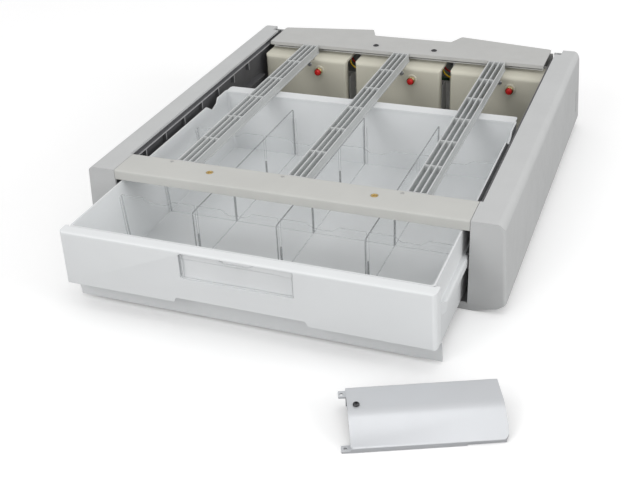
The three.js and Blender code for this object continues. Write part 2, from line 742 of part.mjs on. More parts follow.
function strike(x) {
  const foot = TRAY_REAR_Y + 2.5 + FIT_GAP;
  return cut(
    join(
      block([x - 15, x + 15], [foot, foot + 2.5], [12, 38]),
      block([x - 11, x + 11], [foot, BOLT_Y - DRAWER_OUT + 10.5], [25, 27.5]),
      block([x - 11, x - 9], [foot, BOLT_Y - DRAWER_OUT - 12], [25, 31]),
      block([x + 9, x + 11], [foot, BOLT_Y - DRAWER_OUT - 12], [25, 31]),
    ),
    rodZ(4.3, [x, BOLT_Y - DRAWER_OUT], [24, 29], 16),
  );
}

// ---- loose cover plate --------------------------------------------------------------------

// Made at the origin with its length along X, then turned and laid on the floor.
function looseCover() {
  const rise = COVER_RISE;
  const fold = COVER_FOLD;
  const far = fold + COVER_FLAT;
  const skin = COVER_SKIN;
  const section = outline([
    [0, COVER_LIP], [fold, rise, 11], [far, rise, 2], [far, 0],
    [far - skin, 0], [far - skin, rise - skin, 0.5], [fold + 0.4, rise - skin, 10], [1.4, COVER_LIP - skin],
    [skin, 0], [0, 0],
  ]);
  const roundedEnd = alongZ(outline([
    [-1, -1], [COVER_LENGTH, -1, 9], [COVER_LENGTH, far + 1], [-1, far + 1],
  ]), [-1, rise + 1]);
  const body = common(alongX(section, [0, COVER_LENGTH], 6), roundedEnd);
  const lipStep = block([COVER_LENGTH * 0.73, COVER_LENGTH + 1], [-1, 1.2], [-1, COVER_LIP - skin]);
  const nearTab = block([-8, 1], [0.2, 8.2], [0, skin]);
  const nearTabRoot = block([0, skin], [0.2, 8.2], [0, COVER_LIP + 1]);
  const farTab = block([-7, 1], [far - 12, far - 3], [rise - skin - 1.5, rise - skin]);
  const farTabRoot = block([0, 3], [far - 12, far - 3], [rise - skin - 1.5, rise - 0.5]);
  return placeCover(cut(
    join(cut(body, lipStep), nearTab, nearTabRoot, farTab, farTabRoot),
    rodZ(1.6, [-4.4, 4.2], [-1, 3], 12),
    rodZ(1.6, [-3.9, far - 7.5], [rise - 5, rise], 12),
    rodZ(1.8, COVER_SCREW, [rise - 5, rise + 2], 12),
  ));
}

function looseCoverScrew() {
  const top = COVER_RISE + FIT_GAP;
  const profile = [
    [0, top - 9], [1.5, top - 9], [1.5, top], [3, top], [3, top + 1], [2.2, top + 2], [1.1, top + 2.3],
    [1, top + 1.2], [0, top + 1.2],
  ];
  return placeCover(turnedZ(profile, 14).translate(...COVER_SCREW, 0));
}

function placeCover(geometry) {
  return geometry.rotateZ(COVER_TURN).translate(...COVER_CORNER, 0);
}

// ---- assembly -----------------------------------------------------------------------------

const assembly = new THREE.Group();

function add(name, geometry, finish) {
  const [color, roughness, metalness] = FINISHES[finish];
  const mesh = new THREE.Mesh(geometry, new THREE.MeshStandardMaterial({ color, roughness, metalness }));
  mesh.name = name;
  assembly.add(mesh);
}

add('base_pan', basePan(), 'sheet_steel');
for (const [name, side] of SIDES) {
  add(`${name}_housing`, onSide(housing(), side), 'housing_grey');
  add(`${name}_inner_rail`, onSide(innerRail(), side), 'rail_grey');
  add(`${name}_threaded_insert`, threadedInsert(side * INSERT_X), 'brass');
  add(`${name}_plate_screw`, plateScrew(side), 'dark_steel');
}
add('front_crossbar', frontCrossbar(), 'frame_grey');
add('rear_plate', rearPlate(), 'frame_grey');
add('rear_panel', rearPanel(), 'frame_grey');
add('lock_bulkhead', lockBulkhead(), 'sheet_steel');
add('control_board', controlBoard(), 'board_green');
slatCentres().forEach((x, index) => {
  add(`top_slat_${index + 1}`, topSlat(x), 'frame_grey');
  add(`slat_rivet_${index + 1}`, rivet(x), 'sheet_steel');
});
for (const [number, x] of LOCKS) {
  add(`lock_cover_${number}`, lockCover(x), 'module_cream');
  add(`lock_cover_screw_${number}`, coverScrew(x), 'dark_steel');
  add(`button_bush_${number}`, buttonBush(x), 'chrome');
  add(`release_button_${number}`, pushButton(x), 'button_red');
  add(`solenoid_${number}`, solenoid(x), 'dark_steel');
  add(`lock_bolt_${number}`, lockBolt(x), 'strike_steel');
  add(`strike_${number}`, strike(x), 'strike_steel');
}
lockGaps().forEach((x, index) => {
  add(`yellow_wire_${index + 1}`, linkWire(x, 438, 14), 'wire_yellow');
  add(`red_wire_${index + 1}`, linkWire(x, 445, 9), 'wire_red');
});
add('drawer_tray', drawerTray(), 'drawer_white');
add('drawer_front', drawerFront(), 'drawer_white');
add('drawer_skirt', drawerSkirt(), 'drawer_white');
add('label_card', labelCard(), 'label_paper');
add('label_window', labelWindow(), 'clear_plastic');
rows().forEach((y, index) => add(`cross_divider_${index + 1}`, crossDivider(y), 'clear_plastic'));
columns().forEach((x, index) => add(`long_divider_${index + 1}`, longDivider(x), 'clear_plastic'));
add('loose_cover', looseCover(), 'cover_silver');
add('loose_cover_screw', looseCoverScrew(), 'dark_steel');

assembly.position.y = -UNIT_DEPTH / 2;
const unit = new THREE.Group();
unit.add(assembly);

export default unit;
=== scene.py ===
import json
import math

import bmesh
import bpy
from mathutils import Matrix, Vector


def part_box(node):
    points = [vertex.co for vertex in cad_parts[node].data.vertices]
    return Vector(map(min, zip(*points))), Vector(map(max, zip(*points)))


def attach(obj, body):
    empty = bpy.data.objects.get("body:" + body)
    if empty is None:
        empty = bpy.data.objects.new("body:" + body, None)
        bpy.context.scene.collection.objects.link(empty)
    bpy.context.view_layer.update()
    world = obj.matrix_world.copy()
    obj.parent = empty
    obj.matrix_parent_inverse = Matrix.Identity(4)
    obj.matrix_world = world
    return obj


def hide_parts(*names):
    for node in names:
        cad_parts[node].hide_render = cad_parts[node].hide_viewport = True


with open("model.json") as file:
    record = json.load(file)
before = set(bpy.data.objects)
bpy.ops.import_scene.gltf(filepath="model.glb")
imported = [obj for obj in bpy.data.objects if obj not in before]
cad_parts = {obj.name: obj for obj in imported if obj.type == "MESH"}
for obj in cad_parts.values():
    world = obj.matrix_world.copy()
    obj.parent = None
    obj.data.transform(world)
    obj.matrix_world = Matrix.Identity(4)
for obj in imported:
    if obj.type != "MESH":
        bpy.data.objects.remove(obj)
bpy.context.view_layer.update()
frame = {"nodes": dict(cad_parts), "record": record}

# Shapes are written in millimetres. +X is to the right, +Y goes to the rear, +Z is up; y = 0 is
# the front plane of the side housings and z = 0 is the floor, as in the CAD source. The last step
# of each piece turns it into metres in the part's frame.

MM = 0.001
FRONT_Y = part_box("left_housing")[0][1] / MM
SIDES = (("left", -1), ("right", 1))


def span(node, axis):
    """Where a CAD node begins and ends along an axis (0, 1 or 2), in millimetres."""
    low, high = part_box(node)
    shift = FRONT_Y if axis == 1 else 0.0
    return low[axis] / MM - shift, high[axis] / MM - shift


def middle(node, axis):
    return sum(span(node, axis)) / 2


# ---- materials ----------------------------------------------------------------------------


def srgb(red, green, blue):
    """A linear colour with full alpha from 0-255 display values."""
    def linear(value):
        value /= 255
        return value / 12.92 if value <= 0.04045 else ((value + 0.055) / 1.055) ** 2.4
    return (linear(red), linear(green), linear(blue), 1.0)


def shade(color, factor):
    return tuple(min(1.0, channel * factor) for channel in color[:3]) + (1.0,)


class Nodes:
    """A short way to write a material's node graph."""

    def __init__(self, name):
        self.material = bpy.data.materials.new(name)
        self.material.use_nodes = True
        self.tree = self.material.node_tree
        self.shader = self.tree.nodes["Principled BSDF"]
        self.output = self.tree.nodes["Material Output"]
        self.place = self.add("ShaderNodeTexCoord").outputs["Object"]

    def add(self, kind, **settings):
        node = self.tree.nodes.new(kind)
        for key, value in settings.items():
            setattr(node, key, value)
        return node

    def link(self, source, target):
        self.tree.links.new(source, target)

    def noise(self, scale, detail=2.0, stretch=None):
        node = self.add("ShaderNodeTexNoise")
        node.inputs["Scale"].default_value = scale
        node.inputs["Detail"].default_value = detail
        place = self.place
        if stretch:
            mapping = self.add("ShaderNodeMapping")
            mapping.inputs["Scale"].default_value = stretch
            self.link(place, mapping.inputs["Vector"])
            place = mapping.outputs["Vector"]
        self.link(place, node.inputs["Vector"])
        return node.outputs["Fac"]

    def ramp(self, source, *stops):
        node = self.add("ShaderNodeValToRGB")
        elements = node.color_ramp.elements
        while len(elements) < len(stops):
            elements.new(0.5)
        for element, (position, color) in zip(elements, stops):
            element.position = position
            element.color = color
        self.link(source, node.inputs["Fac"])
        return node.outputs["Color"]

    def spread(self, source, low, high):
        node = self.add("ShaderNodeMapRange")
        node.inputs["From Min"].default_value = 0.3
        node.inputs["From Max"].default_value = 0.7
        node.inputs["To Min"].default_value = low
        node.inputs["To Max"].default_value = high
        self.link(source, node.inputs["Value"])
        return node.outputs["Result"]

    def bump(self, source, strength, distance):
        node = self.add("ShaderNodeBump")
        node.inputs["Strength"].default_value = strength
        node.inputs["Distance"].default_value = distance
        self.link(source, node.inputs["Height"])
        self.link(node.outputs["Normal"], self.shader.inputs["Normal"])


def moulded(name, color, roughness=0.5, grain=0.12, mottle=0.02, uneven=0.06):
    """Moulded plastic: faint mottling, a fine grain and an uneven sheen."""
    nodes = Nodes(name)
    patches = nodes.noise(24.0, 3.0)
    nodes.link(
        nodes.ramp(patches, (0.32, shade(color, 1 - mottle)), (0.68, shade(color, 1 + mottle))),
        nodes.shader.inputs["Base Color"],
    )
    sheen = nodes.spread(nodes.noise(90.0), roughness - uneven, roughness + uneven)
    nodes.link(sheen, nodes.shader.inputs["Roughness"])
    nodes.bump(nodes.noise(1500.0, 1.0), grain, 0.0001)
    nodes.shader.inputs["Specular IOR Level"].default_value = 0.4
    return nodes.material


def metal(name, color, roughness=0.35, stretch=(1.0, 30.0, 1.0), brush=0.15):
    """Metal with a fine directional brushing."""
    nodes = Nodes(name)
    lines = nodes.noise(320.0, 2.0, stretch)
    nodes.link(
        nodes.ramp(lines, (0.3, shade(color, 0.9)), (0.7, shade(color, 1.06))),
        nodes.shader.inputs["Base Color"],
    )
    nodes.link(nodes.spread(lines, roughness - 0.07, roughness + 0.09), nodes.shader.inputs["Roughness"])
    nodes.bump(lines, brush, 0.00005)
    nodes.shader.inputs["Metallic"].default_value = 1.0
    return nodes.material


def clear(name, tint, veil, blend, growth=0.25):
    """A thin clear sheet: see-through, with a glossy film that grows towards glancing angles."""
    nodes = Nodes(name)
    nodes.link(
        nodes.ramp(nodes.noise(12.0), (0.3, shade(tint, 0.97)), (0.7, tint)),
        nodes.shader.inputs["Base Color"],
    )
    nodes.shader.inputs["Roughness"].default_value = 0.12
    gap = nodes.add("ShaderNodeBsdfTransparent")
    gap.inputs["Color"].default_value = (0.995, 0.997, 0.997, 1.0)
    weight = nodes.add("ShaderNodeLayerWeight")
    weight.inputs["Blend"].default_value = blend
    film = nodes.add("ShaderNodeMapRange")
    film.inputs["To Min"].default_value = veil
    film.inputs["To Max"].default_value = min(0.9, veil + growth)
    nodes.link(weight.outputs["Facing"], film.inputs["Value"])
    mix = nodes.add("ShaderNodeMixShader")
    nodes.link(film.outputs["Result"], mix.inputs["Fac"])
    nodes.link(gap.outputs["BSDF"], mix.inputs[1])
    nodes.link(nodes.shader.outputs["BSDF"], mix.inputs[2])
    nodes.link(mix.outputs["Shader"], nodes.output.inputs["Surface"])
    return nodes.material


def metallic_paint(name, color, roughness):
    """Silver paint: fine flakes in a satin film."""
    material = moulded(name, color, roughness, grain=0.04, mottle=0.006, uneven=0.01)
    material.node_tree.nodes["Principled BSDF"].inputs["Metallic"].default_value = 0.6
    return material


def circuit_board(name):
    """Green board: darker tracks show through the lacquer."""
    nodes = Nodes(name)
    cells = nodes.add("ShaderNodeTexVoronoi", feature="DISTANCE_TO_EDGE")
    cells.inputs["Scale"].default_value = 220.0
    nodes.link(nodes.place, cells.inputs["Vector"])
    nodes.link(
        nodes.ramp(cells.outputs["Distance"], (0.0, srgb(70, 120, 80)), (0.12, srgb(38, 82, 52))),
        nodes.shader.inputs["Base Color"],
    )
    nodes.shader.inputs["Roughness"].default_value = 0.35
    return nodes.material


HOUSING = moulded("housing_plastic", srgb(194, 195, 195), 0.55)
FRAME = moulded("frame_plastic", srgb(195, 195, 191), 0.55)
SHEET_PAINT = moulded("sheet_paint", srgb(188, 188, 186), 0.5, grain=0.2)
SLAT = moulded("slat_plastic", srgb(200, 202, 202), 0.5)
# The next two slat tones are darker copies of the slat plastic: painted shade on the outer sides and in the
# channels.
SLAT_SIDE_SHADE = moulded("slat_side_painted_shade", srgb(182, 184, 184), 0.6)
SLAT_CHANNEL_SHADE = moulded("slat_channel_painted_shade", srgb(194, 196, 196), 0.6)
RAIL = moulded("rail_plastic", srgb(94, 94, 96), 0.65, mottle=0.06)
# A lighter copy of the rail plastic for the upper rib tips: painted light.
RAIL_TIP_LIGHT = moulded("rail_tip_painted_light", srgb(162, 162, 163), 0.6)
# The bulkhead gets a lighter copy of the sheet paint: painted light in the shaded gaps between the modules.
BULKHEAD_LIGHT = moulded("bulkhead_painted_light", srgb(228, 228, 226), 0.5, grain=0.2)
DRAWER = moulded("drawer_plastic", srgb(229, 231, 232), 0.42, grain=0.06, mottle=0.008)
# The tray gets a slightly darker copy of the drawer plastic: painted shade.
TRAY_SHADED = moulded("tray_painted_shade", srgb(222, 224, 225), 0.42, grain=0.06, mottle=0.008)
PAPER = moulded("label_card", srgb(232, 233, 234), 0.8, grain=0.3)
CREAM = moulded("module_plastic", srgb(206, 203, 188), 0.5)
RED = moulded("button_plastic", srgb(206, 30, 28), 0.3, grain=0.03, mottle=0.05)
COVER = metallic_paint("cover_paint", srgb(214, 216, 219), 0.42)
YELLOW_WIRE = moulded("yellow_vinyl", srgb(228, 190, 30), 0.45)
RED_WIRE = moulded("red_vinyl", srgb(180, 32, 28), 0.45)
BOARD = circuit_board("circuit_board")
SHEET = metal("plated_sheet", srgb(190, 190, 188), 0.4)
STRIKE = metal("plated_strike", srgb(170, 172, 175), 0.35)
DARK_STEEL = metal("blackened_steel", srgb(84, 84, 86), 0.42, (1.0, 1.0, 1.0))
CHROME = metal("warm_chrome", srgb(214, 196, 152), 0.2, (1.0, 1.0, 1.0), 0.03)
ZINC = metal("zinc_plate", srgb(178, 179, 181), 0.4, (1.0, 1.0, 1.0))
BRASS = metal("turned_brass", srgb(204, 176, 116), 0.28, (1.0, 1.0, 12.0))
CLEAR = clear("clear_acrylic", srgb(236, 238, 240), 0.01, 0.12, growth=0.05)
# Grey edge tones of the clear sheets: painted shade, darker on the long sheets' edges and paler on
# undersides and cross sheets.
EDGE_DARK_SHADE = clear("acrylic_edge", srgb(116, 119, 122), 0.58, 0.3)
EDGE_PALE_SHADE = clear("acrylic_edge_pale", srgb(176, 179, 181), 0.32, 0.3)
WINDOW = clear("label_window", srgb(240, 241, 242), 0.05, 0.12)
# A whitish, nearly opaque film on the label window's rim: painted highlight along its border, covering the
# shade in the gap behind it.
WINDOW_RIM_HIGHLIGHT = clear("label_window_rim_highlight", srgb(236, 238, 239), 0.8, 0.3)


# ---- outlines -----------------------------------------------------------------------------


def outline(*corners, steps=6):
    """Points of a closed outline; a corner's third number is its radius."""
    points = []
    for index, corner in enumerate(corners):
        here = Vector(corner[:2])
        radius = corner[2] if len(corner) > 2 else 0.0
        if radius <= 0:
            points.append(here)
            continue
        back = (Vector(corners[index - 1][:2]) - here).normalized()
        ahead = (Vector(corners[(index + 1) % len(corners)][:2]) - here).normalized()
        half = back.angle(ahead) / 2
        centre = here + (back + ahead).normalized() * (radius / math.sin(half))
        start = here + back * (radius / math.tan(half)) - centre
        end = here + ahead * (radius / math.tan(half)) - centre
        sweep = math.atan2(start.x * end.y - start.y * end.x, start.dot(end))
        for step in range(steps + 1):
            turn = Matrix.Rotation(sweep * step / steps, 2)
            points.append(centre + turn @ start)
    return points


def rectangle(a, b, radius=0.0, steps=6):
    """Points of a rectangle from the limits along its two axes."""
    corners = [(a[i], b[j], radius) for i, j in ((0, 0), (1, 0), (1, 1), (0, 1))]
    return outline(*corners, steps=steps)


def sided(points, side):
    """The outline for the right side, or its mirror image for the left."""
    return [Vector((point[0] * side, point[1])) for point in points]


# ---- closed solids ------------------------------------------------------------------------


def object_from(mesh_data):
    mesh = bpy.data.meshes.new("work")
    bmesh.ops.recalc_face_normals(mesh_data, faces=mesh_data.faces)
    mesh_data.to_mesh(mesh)
    mesh_data.free()
    made = bpy.data.objects.new("work", mesh)
    bpy.context.scene.collection.objects.link(made)
    return made


def loft(rings):
    """A closed solid through rings of the same number of points."""
    data = bmesh.new()
    loops = [[data.verts.new(point) for point in ring] for ring in rings]
    count = len(loops[0])
    data.faces.new(list(reversed(loops[0])))
    data.faces.new(loops[-1])
    for low, high in zip(loops, loops[1:]):
        for i in range(count):
            j = (i + 1) % count
            data.faces.new((low[i], low[j], high[j], high[i]))
    return object_from(data)


PLACE = {
    "x": lambda a, b, c: (c, a, b),
    "y": lambda a, b, c: (a, c, b),
    "z": lambda a, b, c: (a, b, c),
}


def prism(points, axis, limits):
    """The outline pushed along an axis. It lies in the other two axes, in X, Y, Z order."""
    return loft([[PLACE[axis](point[0], point[1], at) for point in points] for at in limits])


def taper(low, high, limits):
    """A solid between two outlines of the same number of points, at two heights."""
    return loft([[(p[0], p[1], z) for p in points] for points, z in zip((low, high), limits)])


def block(x, y, z):
    return prism(rectangle(x, y), "z", z)


def mirror_block(side, x, y, z):
    """A block given for the right side, on the side asked for."""
    return block(sorted((x[0] * side, x[1] * side)), y, z)


def turned(profile, axis, centre, sides=32):
    """A profile of (radius, height) points turned about an axis through the centre."""
    data = bmesh.new()
    rings = []
    for radius, height in profile:
        count = sides if radius > 0 else 1
        ring = []
        for i in range(count):
            angle = 2 * math.pi * i / sides
            a, b = radius * math.cos(angle), radius * math.sin(angle)
            offset = Vector(PLACE[axis](a, b, height))
            ring.append(data.verts.new(Vector(centre) + offset))
        rings.append(ring)
    closed = profile[0][0] > 0
    pairs = list(zip(rings, rings[1:])) + ([(rings[-1], rings[0])] if closed else [])
    for first, second in pairs:
        for i in range(sides):
            j = (i + 1) % sides
            around = ((first, i), (first, j), (second, j), (second, i))
            corners = [loop[k % len(loop)] for loop, k in around]
            unique = list(dict.fromkeys(corners))
            if len(unique) > 2:
                data.faces.new(unique)
    return object_from(data)


def rod(radius, axis, centre, limits, sides=32):
    """A solid cylinder along an axis."""
    profile = [(0, limits[0]), (radius, limits[0]), (radius, limits[1]), (0, limits[1])]
    return turned(profile, axis, centre, sides)


def tube(path, radius, sides=12, steps=40):
    """A round wire through the points."""
    points = [Vector(point) for point in path]
    padded = [2 * points[0] - points[1]] + points + [2 * points[-1] - points[-2]]
    centres = []
    for step in range(steps + 1):
        at = step / steps * (len(points) - 1)
        index = min(int(at), len(points) - 2)
        t = at - index
        a, b, c, d = padded[index:index + 4]
        square = (2 * a - 5 * b + 4 * c - d) * t * t
        cube = (3 * b - a - 3 * c + d) * t ** 3
        centres.append(0.5 * (2 * b + (c - a) * t + square + cube))
    rings = []
    up = Vector((0, 0, 1))
    for index, centre in enumerate(centres):
        ahead = (centres[min(index + 1, steps)] - centres[max(index - 1, 0)]).normalized()
        out = ahead.cross(up).normalized()
        up = out.cross(ahead).normalized()
        rings.append([
            centre + radius * (math.cos(angle) * out + math.sin(angle) * up)
            for angle in (2 * math.pi * i / sides for i in range(sides))
        ])
    return loft(rings)


# ---- joining and cutting ------------------------------------------------------------------


def combine(base, tools, operation):
    """One boolean step with all the tools at once. The tools are used up."""
    if not tools:
        return base
    holder = bpy.data.collections.new("tools")
    bpy.context.scene.collection.children.link(holder)
    for tool in tools:
        bpy.context.scene.collection.objects.unlink(tool)
        holder.objects.link(tool)
    modifier = base.modifiers.new("boolean", "BOOLEAN")
    modifier.solver = "MANIFOLD"
    modifier.operation = operation
    modifier.operand_type = "COLLECTION"
    modifier.collection = holder
    result = evaluated(base)
    base.modifiers.clear()
    base.data = result
    for tool in tools:
        bpy.data.objects.remove(tool)
    bpy.data.collections.remove(holder)
    return base


def evaluated(piece):
    graph = bpy.context.evaluated_depsgraph_get()
    return bpy.data.meshes.new_from_object(piece.evaluated_get(graph))


def join(base, *more):
    return combine(base, more, "UNION")


def cut(base, *tools):
    return combine(base, tools, "DIFFERENCE")


def common(base, tool):
    return combine(base, [tool], "INTERSECT")


# ---- finished pieces ----------------------------------------------------------------------


MERGE_DISTANCE = 0.004
FLAT_ANGLE = math.radians(0.4)
SHARP_ANGLE = math.radians(32)
CAD_SHARP_ANGLE = math.radians(35)

record = frame["record"]
body_of = {node: body for body, nodes in record["behaviour"]["bodies"].items() for node in nodes}


def dress(piece, materials, choose):
    """Gives a piece its materials. choose says which one a face gets, by its place in the list."""
    piece.data.materials.clear()
    for material in materials:
        piece.data.materials.append(material)
    for face in piece.data.polygons:
        face.material_index = choose(face) if choose else 0


def finish_piece(name, work, node, *materials, bevel=0.5, segments=3, choose=None):
    """Cleans a work solid, rounds its edges and puts it in place of its CAD node."""
    data = bmesh.new()
    data.from_mesh(work.data)
    bmesh.ops.remove_doubles(data, verts=data.verts, dist=MERGE_DISTANCE)
    bmesh.ops.dissolve_limit(data, angle_limit=FLAT_ANGLE, verts=data.verts, edges=data.edges)
    for vertex in data.verts:
        vertex.co = Vector((vertex.co.x, vertex.co.y + FRONT_Y, vertex.co.z)) * MM
    data.to_mesh(work.data)
    data.free()
    work.data.shade_smooth()
    work.data.set_sharp_from_angle(angle=SHARP_ANGLE)
    if bevel:
        rounding = work.modifiers.new("rounding", "BEVEL")
        rounding.width = bevel * MM
        rounding.segments = segments
        rounding.limit_method = "ANGLE"
        rounding.angle_limit = SHARP_ANGLE
        rounding.harden_normals = True
        rounding.use_clamp_overlap = True
        rounding.miter_outer = "MITER_ARC"
        work.data = evaluated(work)
        work.modifiers.clear()
    work.name = name
    work.data.name = name
    dress(work, materials, choose)
    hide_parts(node)
    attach(work, body_of[node])
    return work


def keep_node(node, material, bevel=0.0):
    """A CAD node that stays: it gets its material and softened edges."""
    piece = frame["nodes"][node]
    piece.data.materials.clear()
    piece.data.materials.append(material)
    if bevel:
        rounding = piece.modifiers.new("rounding", "BEVEL")
        rounding.width = bevel * MM
        rounding.segments = 2
        rounding.limit_method = "ANGLE"
        rounding.angle_limit = CAD_SHARP_ANGLE
    return piece


# ---- side housings and rails --------------------------------------------------------------

HOUSING_INNER = 200.0
HOUSING_OUTER = span("right_housing", 0)[1]
HEIGHT = span("right_housing", 2)[1]
DEPTH = span("right_housing", 1)[1]
WALL = 3.0
LEAN = 6.0  # how much narrower a housing is at its top
LEAN_FROM = 13.0  # the height where the lean begins
BAY_STEP = 3.6  # how far the bay widens behind the crossbar
BAR_DEPTH = 42  # the crossbar's depth
RAIL_REAR = 404  # where the rails' shelf and keeper end
RIB_PLACES = [21.6 + 48.4 * i for i in range(8)]
RIB_HALF = 0.8


def leaned_in(work, side):
    """Squeezes the housing's width towards its inner side, in step with the height above its foot."""
    for vertex in work.data.vertices:
        rise = max(0.0, vertex.co.z - LEAN_FROM) / (HEIGHT - LEAN_FROM)
        out = max(0.0, side * vertex.co.x - HOUSING_INNER) / (HOUSING_OUTER - HOUSING_INNER)
        vertex.co.x -= side * LEAN * rise * out
    return work


def make_housing(name, side):
    inner, outer = HOUSING_INNER, HOUSING_OUTER
    roof = HEIGHT - WALL
    section = outline(
        (inner, 0), (inner + 6, 0), (outer - 9, 6.5, 8), (outer, LEAN_FROM, 7),
        (outer, HEIGHT, 10), (inner, HEIGHT), steps=10,
    )
    hollow = outline(
        (inner - 1, 8), (outer - 8, 11), (outer - WALL, 16),
        (outer - WALL, roof, 9), (inner - 1, roof),
    )
    plan = outline((inner - 1, 0), (outer, 0, 4.5), (outer, DEPTH, 10), (inner - 1, DEPTH), steps=10)
    foot = inner - 10
    shell = common(
        prism(sided(section, side), "y", (0, DEPTH)),
        prism(sided(plan, side), "z", (-1, HEIGHT + 1)),
    )
    shell = cut(shell, prism(sided(hollow, side), "y", (WALL, DEPTH - WALL)))
    shell = join(
        shell,
        mirror_block(side, (foot, inner + 4), (0.1, DEPTH - 6), (0, 2)),
        mirror_block(side, (foot, inner + 4), (0.1, WALL), (0, 7.4)),
    )
    slot_depth = sorted((side * (outer - 2.2), side * (outer + 1)))
    slot = prism(rectangle((459, 463), (30, 60), 1.9), "x", slot_depth)
    shell = cut(
        shell,
        mirror_block(side, (inner - 1, inner + 13), (DEPTH - 17, DEPTH + 1), (HEIGHT - 4, HEIGHT + 1)),
        mirror_block(side, (inner - 1, inner + BAY_STEP), (BAR_DEPTH, DEPTH + 1), (HEIGHT - 4, HEIGHT + 1)),
        slot,
    )
    finish_piece(f"{name}_housing_shell", leaned_in(shell, side), f"{name}_housing", HOUSING, bevel=0.9)


def make_rail(name, side):
    node = f"{name}_inner_rail"
    inside = HOUSING_INNER + BAY_STEP + 0.4
    tip = HOUSING_INNER - 1
    root = inside + 0.5
    shelf_tip = span("right_inner_rail", 0)[0]
    length = (4, RAIL_REAR)
    rib_foot = 86
    rail = join(
        mirror_block(side, (inside, inside + 2), (WALL + 0.5, DEPTH - 4), (9.2, 100.8)),
        mirror_block(side, (tip, root), (BAR_DEPTH + 1, DEPTH - 24), (97, 98.6)),
        mirror_block(side, (shelf_tip, root), length, (47.1, 49.3)),
        mirror_block(side, (195.3, root), length, (62.6, 64.4)),
        *[
            mirror_block(
                side, (tip, root), (y - RIB_HALF, y + RIB_HALF),
                (rib_foot, 92.3 if y < BAR_DEPTH else 97.5),
            )
            for y in RIB_PLACES
        ],
    )

    # Upper rib tips get the lighter copy of the rail plastic, painted light on the tips.
    def on_tip(face):
        at_tip = abs(face.center.x) < (tip + 0.3) * MM
        return 1 if at_tip and face.center.z > 80 * MM else 0

    finishes = (RAIL, RAIL_TIP_LIGHT)
    finish_piece(f"{name}_ribbed_rail", rail, node, *finishes, bevel=0.25, segments=2, choose=on_tip)


for side_name, side_sign in SIDES:
    make_housing(side_name, side_sign)
    make_rail(side_name, side_sign)


# ---- crossbar, slats and rear plate -------------------------------------------------------

BAR_X = span("front_crossbar", 0)
BAR_Y = span("front_crossbar", 1)
BAR_Z = span("front_crossbar", 2)
TONGUE_LEFT = 19  # how far a slat's tongue reaches to the left of its middle
SLAT_X = [(span(f"top_slat_{n}", 0)[0] + TONGUE_LEFT) for n in (1, 2, 3)]
INSERT_X = middle("right_threaded_insert", 0)
INSERT_Y = middle("right_threaded_insert", 1)
RIVET_Y = middle("slat_rivet_1", 1)
RIVET_LEFT = 14  # a rivet's place to the left of its slat's middle
RIVET_RADIUS = 1.6


def make_crossbar():
    front, rear = BAR_Y
    low, top = BAR_Z
    insert_places = (-INSERT_X, INSERT_X)
    profile = outline((front, low, 0.8), (front, top, 2.2), (rear, top, 0.8), (rear, low, 0.8))
    bar = cut(
        prism(profile, "x", BAR_X),
        block((BAR_X[0] + WALL, BAR_X[1] - WALL), (WALL, rear - WALL), (low - 1, top - WALL)),
    )
    bar = join(bar, *[rod(6.5, "z", (x, INSERT_Y, 0), (low + 1, top - 2.5)) for x in insert_places])
    bores = [rod(4.2, "z", (x, INSERT_Y, 0), (low + 2.5, top + 1)) for x in insert_places]
    tongue_slots = [
        block((x - TONGUE_LEFT - 0.5, x + 8.5), (rear - 5, rear + 1), (97, 101.4)) for x in SLAT_X
    ]
    rivet_holes = [
        rod(RIVET_RADIUS, "z", (x - RIVET_LEFT, RIVET_Y, 0), (top - 5, top + 1), 20) for x in SLAT_X
    ]
    bar = cut(bar, *bores, *tongue_slots, *rivet_holes)
    finish_piece("front_crossbar_shell", bar, "front_crossbar", FRAME, bevel=0.35)


def make_insert(name, side):
    top = BAR_Z[1] + 0.2
    profile = [
        (0, top - 8.5), (3.9, top - 8.5), (3.9, top - 0.3), (3.6, top), (2.5, top), (2.0, top - 0.6),
        (2.0, top - 1.2), (1.7, top - 1.5), (2.0, top - 1.8), (1.7, top - 2.1), (2.0, top - 2.4),
        (1.7, top - 2.7), (1.7, top - 7), (0, top - 7),
    ]
    insert = turned(profile, "z", (side * INSERT_X, INSERT_Y, 0), 40)
    finish_piece(f"{name}_insert", insert, f"{name}_threaded_insert", BRASS, bevel=0)


def make_slat(number, x):
    node = f"top_slat_{number}"
    front, rear = BAR_Y[1] + 0.3, 430.7
    low, top = span(node, 2)
    half, rib = 11.0, 1.2
    channel = (2 * half - 4 * rib) / 3
    pitch = (rear - front - rib) / 6
    flange_x, flange_half = half - 0.4, 1.4
    bars = [
        block((left, left + rib), (front, rear), (low, top))
        for left in (x - half + (channel + rib) * i for i in range(4))
    ]
    bars += [
        block((x - half, x + half), (y, y + rib), (low + 1, top - 0.15))
        for y in (front + pitch * i for i in range(7))
    ]
    flanges = [
        block((middle_x - flange_half, middle_x + flange_half), (front, rear), (low, low + 1.5))
        for middle_x in (x + side * flange_x for _, side in SIDES)
    ]
    slat = join(
        *bars,
        *flanges,
        block((x - TONGUE_LEFT, x + 8), (BAR_Y[1] - 12, front + 1), (97.5, 100.6)),
        block((x - 8, x + 8), (rear - 1, rear + 12), (95.5, 98.5)),
    )
    slat = cut(slat, rod(RIVET_RADIUS, "z", (x - RIVET_LEFT, RIVET_Y, 0), (96, 102), 20))
    limit = (half - 0.9 * rib) * MM

    def finish(face):
        """Upward faces are 0, the channels between the bars 1 and the outer sides 2; channels and sides get
        darker copies of the slat plastic, painted shade.
        """
        if face.normal.z > 0.5:
            return 0
        return 1 if abs(face.center.x - x * MM) < limit else 2

    finishes = (SLAT, SLAT_CHANNEL_SHADE, SLAT_SIDE_SHADE)
    finish_piece(f"lattice_slat_{number}", slat, node, *finishes, bevel=0.2, segments=2, choose=finish)


